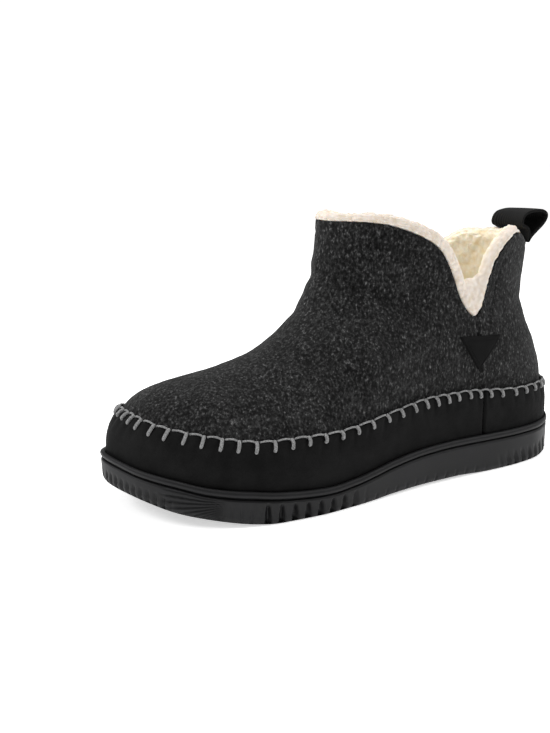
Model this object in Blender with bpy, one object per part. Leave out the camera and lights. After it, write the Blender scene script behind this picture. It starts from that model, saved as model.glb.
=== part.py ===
"""Moccasin slipper, left shoe: cup outsole, insole, felt upper, suede rand, fleece collar and trims.

Toe toward -Y, outer (lateral) side toward +X, up +Z, origin under the middle of the sole.
"""

import math

import bmesh
import bpy
import numpy as np

MM = 0.001

# whole shoe
SOLE_LENGTH = 290.0 * MM
SOLE_WIDTH = 114.5 * MM
RIM_HEIGHT = 23.0 * MM
FRONT_HEIGHT = 147.0 * MM

# layers, from the outside in
CUP_WALL = 3.0 * MM
GAP = 0.3 * MM
RAND_THICK = 2.0 * MM
FELT_THICK = 2.5 * MM
FLEECE_THICK = 6.0 * MM
INSOLE_EASE = 0.8 * MM
INSOLE_THICK = 5.0 * MM

# outsole details
CUP_DEPTH = 8.0 * MM
BEAD_HEIGHT = 3.4 * MM
GROOVE_DEPTH = 1.3 * MM
RIB_PITCH = 5.0 * MM
RIB_DEPTH = 0.9 * MM
TREAD_DEPTH = 1.8 * MM

# ankle opening
ANKLE_HALF_WIDTH = 36.0 * MM
COLLAR_FLARE = 4.5 * MM

# trims
SEAM_GAP = 0.5 * MM
GUSSET_THICK = 1.1 * MM
STRIP_THICK = 1.4 * MM
LOOP_WIDTH = 28.0 * MM
LOOP_THICK = 1.8 * MM
LOOP_REACH = 15.2 * MM
LOOP_BOW = 3.1 * MM

# mesh density
FRONT_COLUMNS = 24
REAR_COLUMNS = 12
RAND_ROWS = 3
SHAFT_ROWS = 9
FLEECE_ROWS = 3

# station from heel to toe, outer half width, inner half width (shares of length and width)
OUTLINE = (
    (0.000, 0.000, 0.000),
    (0.010, 0.123, 0.123),
    (0.030, 0.209, 0.209),
    (0.070, 0.294, 0.289),
    (0.130, 0.355, 0.346),
    (0.200, 0.384, 0.370),
    (0.300, 0.398, 0.355),
    (0.400, 0.417, 0.351),
    (0.500, 0.455, 0.379),
    (0.600, 0.498, 0.431),
    (0.680, 0.521, 0.479),
    (0.750, 0.517, 0.498),
    (0.820, 0.479, 0.488),
    (0.880, 0.408, 0.450),
    (0.930, 0.313, 0.389),
    (0.970, 0.180, 0.284),
    (0.990, 0.057, 0.185),
    (1.000, -0.076, 0.076),
)

# station, underside, rim (heights as shares of the rim height at the heel)
SOLE_SIDE = (
    (0.00, 0.28, 0.98),
    (0.05, 0.06, 0.98),
    (0.10, 0.00, 0.98),
    (0.25, 0.00, 0.99),
    (0.34, 0.05, 1.00),
    (0.43, 0.05, 0.96),
    (0.50, 0.04, 0.87),
    (0.55, 0.01, 0.765),
    (0.60, 0.00, 0.675),
    (0.65, 0.00, 0.63),
    (0.70, 0.00, 0.655),
    (0.76, 0.00, 0.725),
    (0.80, 0.035, 0.79),
    (0.84, 0.11, 0.85),
    (0.88, 0.20, 0.93),
    (0.92, 0.31, 1.065),
    (0.97, 0.53, 1.22),
    (1.00, 0.66, 1.38),
)

# instep line: distance behind the felt toe (share of length), height (share of front height)
INSTEP = (
    (0.000, 0.230),
    (0.0166, 0.325),
    (0.029, 0.352),
    (0.051, 0.400),
    (0.114, 0.446),
    (0.203, 0.477),
    (0.289, 0.528),
    (0.351, 0.613),
    (0.389, 0.695),
    (0.407, 0.771),
    (0.421, 0.870),
    (0.429, 1.000),
    (0.470, 1.500),
    (0.600, 3.500),
    (1.000, 9.000),
)

# heel line: height (share of front height), set forward of the sole's heel (share of length)
HEEL_LINE = (
    (0.00, 0.000),
    (0.16, 0.000),
    (0.22, 0.000),
    (0.30, 0.006),
    (0.37, 0.011),
    (0.48, 0.032),
    (0.575, 0.053),
    (0.66, 0.060),
    (0.79, 0.0565),
    (0.90, 0.053),
    (1.10, 0.052),
)

# top edge of the rand: station, height (share of front height)
RAND_TOP = (
    (0.00, 0.297),
    (0.10, 0.311),
    (0.17, 0.314),
    (0.25, 0.328),
    (0.32, 0.338),
    (0.40, 0.338),
    (0.50, 0.317),
    (0.65, 0.281),
    (0.77, 0.280),
    (0.86, 0.303),
    (0.92, 0.327),
    (0.96, 0.358),
)

# collar seen from the side: felt edge station and height, fleece edge station and height
COLLAR = (
    (0.552, 1.000, 0.550, 1.028),
    (0.518, 0.998, 0.515, 1.028),
    (0.483, 0.990, 0.478, 1.023),
    (0.454, 0.973, 0.446, 1.006),
    (0.408, 0.937, 0.397, 0.970),
    (0.374, 0.895, 0.359, 0.922),
    (0.352, 0.841, 0.333, 0.862),
    (0.332, 0.771, 0.314, 0.796),
    (0.3145, 0.695, 0.2985, 0.744),
    (0.3005, 0.652, 0.287, 0.722),
    (0.279, 0.617, 0.279, 0.715),
    (0.260, 0.645, 0.271, 0.722),
    (0.2505, 0.703, 0.263, 0.748),
    (0.237, 0.779, 0.251, 0.803),
    (0.223, 0.842, 0.236, 0.868),
    (0.204, 0.885, 0.214, 0.914),
    (0.178, 0.915, 0.187, 0.943),
    (0.140, 0.924, 0.145, 0.952),
    (0.100, 0.897, 0.103, 0.930),
)
# how far the inner side's collar lies lower than the outer side's, behind the notch
# station, share of the front height
INNER_SAG = (
    (0.000, 0.000), (0.085, 0.000), (0.100, 0.012), (0.115, 0.023), (0.130, 0.029), (0.146, 0.036),
    (0.155, 0.043), (0.165, 0.054), (0.175, 0.063), (0.185, 0.066), (0.200, 0.062), (0.220, 0.041),
    (0.240, 0.012), (0.255, 0.000), (1.000, 0.000),
)
NOTCH_ROW = 10
NOTCH_STATION = 0.262

# gusset seen from the side: front top, back top and tip (station, share of front height)
GUSSET = ((0.326, 0.553), (0.2145, 0.541), (0.277, 0.411))

# pull loop seen from the side: behind its seat (share of reach), height (share of front height)
LOOP = (
    (0.00, 0.880),
    (0.00, 0.908),
    (-0.06, 0.930),
    (-0.21, 0.939),
    (-0.355, 0.948),
    (-0.40, 0.966),
    (-0.30, 0.990),
    (-0.09, 1.006),
    (0.27, 1.0135),
    (0.665, 1.0135),
    (0.91, 1.004),
    (1.00, 0.988),
    (0.935, 0.966),
    (0.75, 0.944),
    (0.48, 0.922),
    (0.225, 0.900),
    (0.08, 0.883),
)


def smooth(rows, column, at, warp=None):
    """Monotone cubic through one column of a table, against its first column."""
    xs = np.array([row[0] for row in rows])
    ys = np.array([row[column] for row in rows])
    at = np.clip(at, xs[0], xs[-1])
    if warp is not None:
        xs = warp(xs)
        at = warp(at)
    step = np.diff(xs)
    rise = np.diff(ys) / step
    slope = np.zeros(len(xs))
    slope[0] = rise[0]
    slope[-1] = rise[-1]
    same = rise[:-1] * rise[1:] > 0
    mean = 2 * rise[:-1] * rise[1:] / np.where(same, rise[:-1] + rise[1:], 1.0)
    slope[1:-1] = np.where(same, mean, 0.0)
    k = np.clip(np.searchsorted(xs, at, side="right") - 1, 0, len(step) - 1)
    t = (at - xs[k]) / step[k]
    a = (2 * t ** 3 - 3 * t ** 2 + 1) * ys[k] + (3 * t ** 2 - 2 * t ** 3) * ys[k + 1]
    b = (t ** 3 - 2 * t ** 2 + t) * slope[k] + (t ** 3 - t ** 2) * slope[k + 1]
    return a + b * step[k]


def round_ends(share):
    """Stations as an angle, so that the rounded toe and heel come out round."""
    return np.arccos(np.clip(1 - 2 * share, -1, 1))


def ease(value, low, high):
    t = np.clip((value - low) / (high - low), 0, 1)
    return t * t * (3 - 2 * t)


def station_to_y(share):
    return (0.5 - share) * SOLE_LENGTH


def y_to_station(y):
    return 0.5 - y / SOLE_LENGTH


def rim_height(share):
    return smooth(SOLE_SIDE, 2, share) * RIM_HEIGHT


def under_height(share):
    return smooth(SOLE_SIDE, 1, share) * RIM_HEIGHT


def cup_floor(share):
    return rim_height(share) - CUP_DEPTH


def plan_side(side, share, inset):
    """Points of the sole outline on one side, moved inward by inset."""
    column = 1 if side > 0 else 2
    fine = 1e-4
    angle = np.clip(round_ends(np.asarray(share, float)), 0, math.pi)

    def raw(angle):
        # past either end the outline goes on along the other side
        flip = (angle < 0) | (angle > math.pi)
        inside = np.where(angle < 0, -angle, np.where(angle > math.pi, 2 * math.pi - angle, angle))
        station = (1 - np.cos(inside)) / 2
        here = side * smooth(OUTLINE, column, station, round_ends) * SOLE_WIDTH
        there = -side * smooth(OUTLINE, 3 - column, station, round_ends) * SOLE_WIDTH
        return np.stack([np.where(flip, there, here), station_to_y(station)], axis=-1)

    point = raw(angle)
    along = raw(angle + fine) - raw(angle - fine)
    along /= np.linalg.norm(along, axis=-1, keepdims=True)
    inward = np.stack([along[..., 1], -along[..., 0]], axis=-1) * side
    return point + inward * np.reshape(inset, (-1, 1))


FELT_INSET = CUP_WALL + GAP + RAND_THICK + GAP
DENSE = (1 - np.cos(np.linspace(0, math.pi, 241))) / 2
FELT_PLAN = {side: plan_side(side, DENSE, FELT_INSET) for side in (1, -1)}
TOE_Y = min(FELT_PLAN[1][:, 1])
HEEL_Y = max(FELT_PLAN[1][:, 1])


def felt_plan(side, y):
    """Outer face of the felt at the sole, as x against y."""
    plan = FELT_PLAN[side]
    span = HEEL_Y - TOE_Y
    order = np.argsort(plan[:, 1])
    known = round_ends((plan[order, 1] - TOE_Y) / span)
    return np.interp(round_ends((y - TOE_Y) / span), known, plan[order, 0])


def instep_height(y):
    return smooth(INSTEP, 1, (y - TOE_Y) / SOLE_LENGTH, np.sqrt) * FRONT_HEIGHT


INSTEP_Y = TOE_Y + np.linspace(0, math.sqrt(0.6), 400) ** 2 * SOLE_LENGTH
INSTEP_Z = instep_height(INSTEP_Y)


def instep_y(z):
    return np.interp(z, INSTEP_Z, INSTEP_Y)


def heel_y(z):
    return HEEL_Y - smooth(HEEL_LINE, 1, z / FRONT_HEIGHT) * SOLE_LENGTH


def ankle_half(z):
    low = ease(z, 0.45 * FRONT_HEIGHT, 0.66 * FRONT_HEIGHT)
    flare = ease(z, 0.66 * FRONT_HEIGHT, 1.05 * FRONT_HEIGHT)
    return ANKLE_HALF_WIDTH * (1.04 - 0.04 * low) + COLLAR_FLARE * flare


def felt_x(side, y, z):
    """Outer face of the upper on one side, as x against y and z."""
    back = ease(y, 0.05 * SOLE_LENGTH, HEEL_Y)
    moved = y + (HEEL_Y - heel_y(z)) * back
    outer = felt_plan(1, moved)
    inner = felt_plan(-1, moved)
    middle = (outer + inner) / 2
    half = (outer - inner) / 2
    wall = rim_height(y_to_station(y)) + 1.0 * MM
    dome = np.clip((z - wall) / np.maximum(instep_height(y) - wall, 1e-6), 0, 1)
    swell = 1 + 0.035 * np.sin(math.pi * np.clip(dome * 1.6, 0, 1))
    foot = half * swell * np.sqrt(np.maximum(1 - dome ** 2.4, 0))
    front = instep_y(z)
    rear = heel_y(z)
    along = np.clip((2 * y - front - rear) / (rear - front), -1, 1)
    shaft = ankle_half(z) * np.sqrt(np.maximum(1 - np.abs(along) ** 2.25, 0))
    mix = ease(z, 0.47 * FRONT_HEIGHT, 0.74 * FRONT_HEIGHT)
    return middle * (1 - mix) + side * (foot * (1 - mix) + shaft * mix)


def run_lengths(points):
    return np.concatenate([[0], np.cumsum(np.linalg.norm(np.diff(points, axis=0), axis=1))])


def along_path(points, shares):
    run = run_lengths(points)
    at = np.asarray(shares) * run[-1]
    return np.stack([np.interp(at, run, points[:, k]) for k in range(points.shape[1])], axis=-1)


NOTCH_SHARE = FRONT_COLUMNS / (FRONT_COLUMNS + REAR_COLUMNS)


def two_part(points, cut, shares):
    """Even spacing before and after one kept point of a path."""
    first = along_path(points[:cut + 1], np.clip(shares / NOTCH_SHARE, 0, 1))
    second = along_path(points[cut:], np.clip((shares - NOTCH_SHARE) / (1 - NOTCH_SHARE), 0, 1))
    return np.where((shares <= NOTCH_SHARE)[:, None], first, second)


def level_line(height, shares):
    """A line round the foot seen from the side, height given against the station."""
    fine = (1 - np.cos(np.linspace(0, math.pi, 161))) / 2
    y = TOE_Y + fine * (HEEL_Y - TOE_Y)
    z = height(y_to_station(y))
    front = np.interp(0, (z - instep_height(y))[:60][::-1], y[:60][::-1])
    front = max(front, TOE_Y)
    rear = heel_y(height(y_to_station(HEEL_Y)))
    notch = station_to_y(NOTCH_STATION)
    y = np.concatenate([np.linspace(front, notch, 81), np.linspace(notch, rear, 41)[1:]])
    return two_part(np.stack([y, height(y_to_station(y))], axis=-1), 80, shares)


def collar_line(first, shares):
    """Felt (first=0) or fleece (first=2) edge of the collar seen from the side."""
    knots = np.arange(len(COLLAR), dtype=float)
    fine = np.linspace(0, knots[-1], 12 * (len(COLLAR) - 1) + 1)
    table = [(knot,) + row for knot, row in zip(knots, COLLAR)]
    y = station_to_y(smooth(table, 1 + first, fine))
    z = smooth(table, 2 + first, fine) * FRONT_HEIGHT
    # the two ends sit on the instep line and on the heel line
    y += (instep_y(z[0]) - y[0]) * (1 - ease(fine, 0, 4))
    y += (heel_y(z[-1]) - y[-1]) * ease(fine, knots[-1] - 3, knots[-1])
    return two_part(np.stack([y, z], axis=-1), 12 * NOTCH_ROW, shares)


def base_height(share):
    return cup_floor(share) + GAP


def rand_height(share):
    return smooth(RAND_TOP, 1, share) * FRONT_HEIGHT


def border(line, low, high, count=60):
    """Part of the instep or heel line between two heights, seen from the side."""
    z = np.linspace(low, high, count)
    return np.stack([line(z), z], axis=-1)


def blend_rows(bottom, top, front, rear, level, shares):
    """Coons blend of four edges in the side view."""
    a = shares[:, None]
    left = along_path(front, [level])[0]
    right = along_path(rear, [level])[0]
    ends = (1 - a) * left + a * right
    between = (1 - level) * bottom + level * top
    corner_low = (1 - a) * bottom[0] + a * bottom[-1]
    corner_high = (1 - a) * top[0] + a * top[-1]
    return between + ends - (1 - level) * corner_low - level * corner_high


HALF_COLUMNS = FRONT_COLUMNS + REAR_COLUMNS
COLUMN_SHARES = np.linspace(0, 1, HALF_COLUMNS + 1)


def collar_sag(side, y, z):
    if side > 0:
        return np.zeros(len(y))
    stations, sags = np.array(INNER_SAG).T
    lower = np.interp(y_to_station(y), stations, sags) * FRONT_HEIGHT
    return lower * ease(z, 0.66 * FRONT_HEIGHT, 0.93 * FRONT_HEIGHT)


def ring(side_view):
    """Closed ring on the felt: front, outer side, heel, inner side."""
    halves = []
    shares = np.linspace(0, 1, len(side_view))
    cut = int(np.argmin(np.abs(shares - NOTCH_SHARE)))
    y, z = side_view.T
    for side in (1, -1):
        x = felt_x(side, y, z)
        x[0] = x[-1] = 0
        x[0] = felt_x(0, y[:1], z[:1])[0]
        x[-1] = felt_x(0, y[-1:], z[-1:])[0]
        halves.append(two_part(np.stack([x, y, z - collar_sag(side, y, z)], axis=-1), cut, COLUMN_SHARES))
    return np.concatenate([halves[0], halves[1][-2:0:-1]])


def felt_rings():
    dense = np.linspace(0, 1, 12 * HALF_COLUMNS + 1)
    base = level_line(base_height, dense)
    middle = level_line(rand_height, dense)
    top = collar_line(0, dense)
    rows = []
    front = border(instep_y, base[0][1], middle[0][1])
    rear = border(heel_y, base[-1][1], middle[-1][1])
    for k in range(RAND_ROWS):
        rows.append(ring(blend_rows(base, middle, front, rear, k / RAND_ROWS, dense)))
    front = border(instep_y, middle[0][1], top[0][1])
    rear = border(heel_y, middle[-1][1], top[-1][1])
    for k in range(SHAFT_ROWS + 1):
        rows.append(ring(blend_rows(middle, top, front, rear, k / SHAFT_ROWS, dense)))
    return np.array(rows), ring(collar_line(2, dense))


def ring_normals(rows):
    """Unit normals of a stack of closed rings, pointing outward."""
    around = np.roll(rows, -1, axis=1) - np.roll(rows, 1, axis=1)
    up = np.gradient(rows, axis=0)
    normal = np.cross(around, up)
    normal /= np.linalg.norm(normal, axis=2, keepdims=True)
    return normal


FELT, FLEECE_EDGE = felt_rings()
NORMAL = ring_normals(FELT)
COLUMNS = 2 * HALF_COLUMNS
LAST_ROW = RAND_ROWS + SHAFT_ROWS


def felt_layer(row, offset):
    """One ring of the felt grid moved outward by offset; the lowest stays on the cup's floor."""
    points = FELT[row] + NORMAL[row] * offset
    if row == 0:
        points[:, 2] = base_height(y_to_station(points[:, 1]))
    return points


def on_felt(column, row, offset):
    """Point at a place of the felt grid, moved outward by offset."""
    i = int(math.floor(column))
    j = min(int(math.floor(row)), LAST_ROW - 1)
    u = column - i
    v = row - j
    low = felt_layer(j, offset)
    high = felt_layer(j + 1, offset)
    a = i % COLUMNS
    b = (i + 1) % COLUMNS
    return (1 - v) * ((1 - u) * low[a] + u * low[b]) + v * ((1 - u) * high[a] + u * high[b])


def finish_mesh(name, bm, collection, material):
    bmesh.ops.remove_doubles(bm, verts=bm.verts, dist=1e-6)
    bmesh.ops.triangulate(bm, faces=bm.faces)
    bmesh.ops.recalc_face_normals(bm, faces=bm.faces)
    if bm.calc_volume(signed=True) < 0:
        bmesh.ops.reverse_faces(bm, faces=bm.faces)
    mesh = bpy.data.meshes.new(name)
    bm.to_mesh(mesh)
    bm.free()
    mesh.materials.append(material)
    thing = bpy.data.objects.new(name, mesh)
    collection.objects.link(thing)
    return thing


def add_grid(bm, rows, close_around, close_up):
    """Quads over rows of points; either direction may close on itself."""
    verts = [[bm.verts.new(tuple(point)) for point in row] for row in rows]
    height = len(verts)
    width = len(verts[0])
    for j in range(height if close_up else height - 1):
        for i in range(width if close_around else width - 1):
            low = verts[j]
            high = verts[(j + 1) % height]
            n = (i + 1) % width
            bm.faces.new((low[i], low[n], high[n], high[i]))
    return verts


def shell_of_rings(name, rings, collection, material):
    """Closed tube-like body from rings that go up the outside and down the inside."""
    bm = bmesh.new()
    add_grid(bm, rings, True, True)
    return finish_mesh(name, bm, collection, material)


def slab(name, grid_out, grid_in, collection, material):
    """Closed sheet between two grids of the same size."""
    bm = bmesh.new()
    out = add_grid(bm, grid_out, False, False)
    inn = add_grid(bm, [row[::-1] for row in grid_in], False, False)
    inn = [row[::-1] for row in inn]
    for a, b in ((out[0], inn[0]), (out[-1], inn[-1])):
        for k in range(len(a) - 1):
            bm.faces.new((a[k], a[k + 1], b[k + 1], b[k]))
    for a, b in (([row[0] for row in out], [row[0] for row in inn]),
                 ([row[-1] for row in out], [row[-1] for row in inn])):
        for k in range(len(a) - 1):
            bm.faces.new((a[k], a[k + 1], b[k + 1], b[k]))
    return finish_mesh(name, bm, collection, material)


def felt_patch(name, first, last, low, high, lift, thick, collection, material):
    """Sheet that lies on the felt between two columns and two rows of its grid."""
    columns = [first] + list(range(math.ceil(first + 1e-6), math.floor(last - 1e-6) + 1)) + [last]
    rows = [low] + list(range(math.ceil(low + 1e-6), math.floor(high - 1e-6) + 1)) + [high]
    inner = [[on_felt(c, r, lift) for c in columns] for r in rows]
    outer = [[on_felt(c, r, lift + thick) for c in columns] for r in rows]
    return slab(name, outer, inner, collection, material)


def sole_stations():
    """Stations from heel to toe, closer together where the side is ribbed."""
    heel = (1 - np.cos(np.linspace(0, math.pi / 2, 13))) * 0.20
    waist = np.linspace(0.20, 0.50, 10)[1:]
    count = 2 * int(round(0.40 * SOLE_LENGTH / RIB_PITCH))
    ribbed = np.linspace(0.50, 0.90, count + 1)[1:]
    toe = 0.90 + 0.10 * np.sin(np.linspace(0, math.pi / 2, 9))[1:]
    return np.concatenate([heel, waist, ribbed, toe])


def sole_ring(stations, inset, height, lift=0.0):
    """Ring at one inset and one height rule: heel, outer side, toe, inner side."""
    sides = []
    for side in (1, -1):
        flat = plan_side(side, stations, inset)
        sides.append(np.column_stack([flat, height(y_to_station(flat[:, 1])) + lift]))
    return np.concatenate([sides[0], sides[1][-2:0:-1]])


def ladder(bm, ring_verts, count):
    """Cap a heel-to-toe ring with strips from the outer to the inner side."""
    outer = ring_verts[:count]
    inner = [ring_verts[0]] + ring_verts[:count - 1:-1] + [ring_verts[count - 1]]
    for k in range(count - 1):
        corners = []
        for vert in (outer[k], outer[k + 1], inner[k + 1], inner[k]):
            if vert not in corners:
                corners.append(vert)
        bm.faces.new(corners)


def capped_body(name, rings, count, collection, material):
    bm = bmesh.new()
    verts = add_grid(bm, rings, True, False)
    ladder(bm, verts[0], count)
    ladder(bm, verts[-1], count)
    return finish_mesh(name, bm, collection, material)


def build_outsole(collection, material):
    stations = sole_stations()
    index = np.arange(len(stations))
    in_ribs = ((stations > 0.50) & (stations < 0.93)) | (stations < 0.19)
    rib = np.where(in_ribs & (index % 2 == 1), RIB_DEPTH, 0.0)
    pads = ((stations > 0.06) & (stations < 0.20)) | ((stations > 0.63) & (stations < 0.72))
    cut = (index % 5 == 2) & ~pads & (stations > 0.03) & (stations < 0.93)
    cut &= (stations < 0.28) | (stations > 0.55)
    tread = np.where(cut, TREAD_DEPTH, 0.0)
    neck = BEAD_HEIGHT + 0.6 * MM
    rings = [
        sole_ring(stations, CUP_WALL, cup_floor),
        sole_ring(stations, CUP_WALL, rim_height, -0.6 * MM),
        sole_ring(stations, 0.55 * CUP_WALL, rim_height),
        sole_ring(stations, 0.15 * CUP_WALL, rim_height, -0.9 * MM),
        sole_ring(stations, 0.0, rim_height, -0.55 * BEAD_HEIGHT),
        sole_ring(stations, 0.3 * GROOVE_DEPTH, rim_height, -BEAD_HEIGHT),
        sole_ring(stations, GROOVE_DEPTH, rim_height, -neck),
        sole_ring(stations, 0.2 * MM + rib * 0.4, rim_height, -neck - 1.3 * MM),
        sole_ring(stations, 0.6 * MM + rib, under_height, 2.8 * MM),
        sole_ring(stations, 2.4 * MM, under_height, tread),
    ]
    return capped_body("outsole", rings, len(stations), collection, material)


def build_insole(collection, material):
    stations = (1 - np.cos(np.linspace(0, math.pi, 29))) / 2
    inset = FELT_INSET + FELT_THICK + INSOLE_EASE
    rings = [
        sole_ring(stations, inset, base_height),
        sole_ring(stations, inset, base_height, INSOLE_THICK - 1.0 * MM),
        sole_ring(stations, inset + 1.0 * MM, base_height, INSOLE_THICK),
    ]
    return capped_body("insole", rings, len(stations), collection, material)


def build_upper(collection, material):
    outer = [felt_layer(j, 0) for j in range(LAST_ROW + 1)]
    inner = [felt_layer(j, -FELT_THICK) for j in range(LAST_ROW, -1, -1)]
    return shell_of_rings("upper", outer + inner, collection, material)


def build_fleece(collection, material):
    """Pile lining round the collar; its rim stands above the felt edge."""
    under_felt = FELT_THICK + GAP
    deep = under_felt + FLEECE_THICK
    normal = NORMAL[LAST_ROW]
    edge = FELT[LAST_ROW]

    def above(level, offset):
        return edge + (FLEECE_EDGE - edge) * level + normal * offset

    rings = [felt_layer(j, -under_felt) for j in range(LAST_ROW - FLEECE_ROWS, LAST_ROW + 1)]
    rings.append(above(0.10, -under_felt))
    rings.append(above(0.18, -0.6 * MM))
    rings.append(above(0.45, 0.3 * MM))
    rings.append(above(0.80, -0.3 * MM))
    rings.append(above(1.0, -0.35 * deep))
    rings.append(above(0.85, -0.75 * deep))
    rings.append(above(0.30, -deep))
    rings += [felt_layer(j, -deep) for j in (LAST_ROW - 1, LAST_ROW - FLEECE_ROWS)]
    return shell_of_rings("fleece_collar", rings, collection, material)


def side_point(side, y, z, offset):
    """Point on one side of the upper, moved outward by offset."""
    fine = 0.2 * MM
    y = np.array([y, y + fine, y])
    z = np.array([z, z, z + fine])
    x = felt_x(side, y, z)
    point = np.array([x[0], y[0], z[0]])
    along = np.array([x[1] - x[0], fine, 0])
    up = np.array([x[2] - x[0], 0, fine])
    normal = np.cross(along, up)
    normal *= side / np.linalg.norm(normal)
    return point + normal * offset


def build_gusset(name, side, collection, material):
    front, back, tip = [np.array(corner) for corner in GUSSET]
    steps = 6
    grids = {}
    for offset in (0.4 * MM, 0.4 * MM + GUSSET_THICK):
        rows = []
        for j in range(steps + 1):
            down = j / steps * 0.97
            left = front + (tip - front) * down
            right = back + (tip - back) * down
            row = []
            for i in range(steps + 1):
                share, height = left + (right - left) * i / steps
                row.append(side_point(side, station_to_y(share), height * FRONT_HEIGHT, offset))
            rows.append(row)
        grids[offset] = rows
    inner, outer = grids.values()
    return slab(name, outer, inner, collection, material)


def build_loop(collection, material):
    """Closed ring of webbing seen from the side, bowed across like the heel that it sits on."""
    seat = 0.4 * MM + STRIP_THICK + 0.4 * MM
    knots = []
    for share, height in LOOP:
        z = height * FRONT_HEIGHT
        knots.append([float(heel_y(z)) + seat + share * LOOP_REACH, z])
    knots = np.array(knots + knots[:1])
    outer = along_path(knots, np.linspace(0, 1, 33))[:-1]
    along = np.roll(outer, -1, axis=0) - np.roll(outer, 1, axis=0)
    along /= np.linalg.norm(along, axis=1, keepdims=True)
    middle = outer.mean(axis=0)
    normal = np.column_stack([along[:, 1], -along[:, 0]])
    normal *= np.sign(np.sum(normal * (middle - outer)))
    inner = outer + normal * LOOP_THICK
    rings = []
    for loop, sign in ((outer, 1), (inner, -1)):
        for across in (-1.0, -0.5, 0.0, 0.5, 1.0):
            x = sign * across * LOOP_WIDTH / 2
            bowed = loop - [LOOP_BOW * across ** 2, 0.0]
            rings.append(np.column_stack([np.full(len(loop), x), bowed]))
    return shell_of_rings("pull_loop", rings, collection, material)


def srgb(hex_code):
    parts = [int(hex_code[k:k + 2], 16) / 255 for k in (0, 2, 4)]
    return [c / 12.92 if c <= 0.04045 else ((c + 0.055) / 1.055) ** 2.4 for c in parts] + [1.0]


def plain_material(name, hex_code, roughness):
    material = bpy.data.materials.new(name)
    material.use_nodes = True
    shader = material.node_tree.nodes["Principled BSDF"]
    shader.inputs["Base Color"].default_value = srgb(hex_code)
    shader.inputs["Roughness"].default_value = roughness
    return material


def build():
    for thing in list(bpy.data.objects):
        bpy.data.objects.remove(thing, do_unlink=True)
    home = bpy.data.collections.new("moccasin_slipper")
    bpy.context.scene.collection.children.link(home)

    build_outsole(home, plain_material("outsole_rubber", "2E2E31", 0.6))
    build_insole(home, plain_material("insole_fabric", "E6D9C4", 0.95))
    build_upper(home, plain_material("upper_felt", "35363A", 0.95))
    build_fleece(home, plain_material("collar_fleece", "EFE3D0", 0.95))

    seam = SEAM_GAP / 2 / (0.55 * SOLE_LENGTH / FRONT_COLUMNS)
    top = RAND_ROWS
    felt_patch("rand_front", -FRONT_COLUMNS + seam, FRONT_COLUMNS - seam, 0, top, GAP, RAND_THICK,
               home, plain_material("rand_front_suede", "202021", 0.9))
    felt_patch("rand_heel", FRONT_COLUMNS + seam, COLUMNS - FRONT_COLUMNS - seam, 0, top, GAP, RAND_THICK,
               home, plain_material("rand_heel_suede", "202021", 0.9))
    felt_patch("heel_strip", HALF_COLUMNS - 1, HALF_COLUMNS + 1, top + 0.06, LAST_ROW - 0.02, GAP, STRIP_THICK,
               home, plain_material("heel_strip_webbing", "1C1C1D", 0.85))
    build_gusset("gusset_lateral", 1, home, plain_material("gusset_lateral_suede", "161616", 0.9))
    build_gusset("gusset_medial", -1, home, plain_material("gusset_medial_suede", "161616", 0.9))
    build_loop(home, plain_material("pull_loop_webbing", "242425", 0.8))


build()
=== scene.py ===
# %% [markdown]
# # A moccasin slipper, dressed
# The solids of one left slipper come in as a fixed frame: outsole, upper, rand, collar and trims.
# This file gives each of them the surface the real shoe has. Heavy boiled-wool felt, black suede,
# a hand-sewn blanket stitch, curly cream pile and a ribbed rubber cup sole.

# %% Load the frame
import math

import bmesh
import bpy
import numpy as np
from mathutils import Matrix, Vector, noise


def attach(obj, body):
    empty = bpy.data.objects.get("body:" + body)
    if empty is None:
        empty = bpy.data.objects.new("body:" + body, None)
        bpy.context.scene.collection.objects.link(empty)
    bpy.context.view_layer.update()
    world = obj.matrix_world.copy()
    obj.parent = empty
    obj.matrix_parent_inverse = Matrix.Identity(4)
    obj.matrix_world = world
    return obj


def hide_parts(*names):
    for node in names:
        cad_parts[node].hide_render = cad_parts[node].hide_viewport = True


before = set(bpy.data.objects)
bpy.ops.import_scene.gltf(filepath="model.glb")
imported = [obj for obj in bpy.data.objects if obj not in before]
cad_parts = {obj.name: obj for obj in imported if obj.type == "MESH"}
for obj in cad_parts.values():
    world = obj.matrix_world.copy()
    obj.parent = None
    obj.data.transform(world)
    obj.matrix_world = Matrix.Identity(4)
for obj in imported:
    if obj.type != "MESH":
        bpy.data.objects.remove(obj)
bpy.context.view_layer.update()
MM = 0.001
print("solids:", sorted(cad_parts))

# %% [markdown]
# ## Camera, floor and light
# The shoe is seen from its outer front side, a little above. Aiming a straight camera keeps the
# picture free of lens shift, so every other view stays centred. A product picture like this one is
# lit by big soft boxes over a white table: no shadow is hard, only a dark line lies underneath.

# %% Camera
scene = bpy.context.scene
VIEW_TURN = 61.773
VIEW_RISE = 11.626
VIEW_ROLL = -0.815
VIEW_PLACE = (0.4743, -0.3008, 0.1788)
FOCAL_PIXELS = 989.0
LONG_SIDE = 733

lens = bpy.data.cameras.new("camera")
lens.sensor_width = 36
lens.lens = FOCAL_PIXELS * lens.sensor_width / LONG_SIDE
lens.clip_start = 0.01
camera = bpy.data.objects.new("camera", lens)
scene.collection.objects.link(camera)
turn = math.radians(VIEW_TURN)
rise = math.radians(VIEW_RISE)
back = Vector((math.sin(turn) * math.cos(rise), -math.cos(turn) * math.cos(rise), math.sin(rise)))
facing = (-back).to_track_quat("-Z", "Y").to_matrix().to_4x4()
aimed = facing @ Matrix.Rotation(math.radians(VIEW_ROLL), 4, "Z")
camera.matrix_world = Matrix.Translation(VIEW_PLACE) @ aimed
scene.camera = camera
print("camera:", VIEW_PLACE, "lens in mm:", round(lens.lens, 1))

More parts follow.
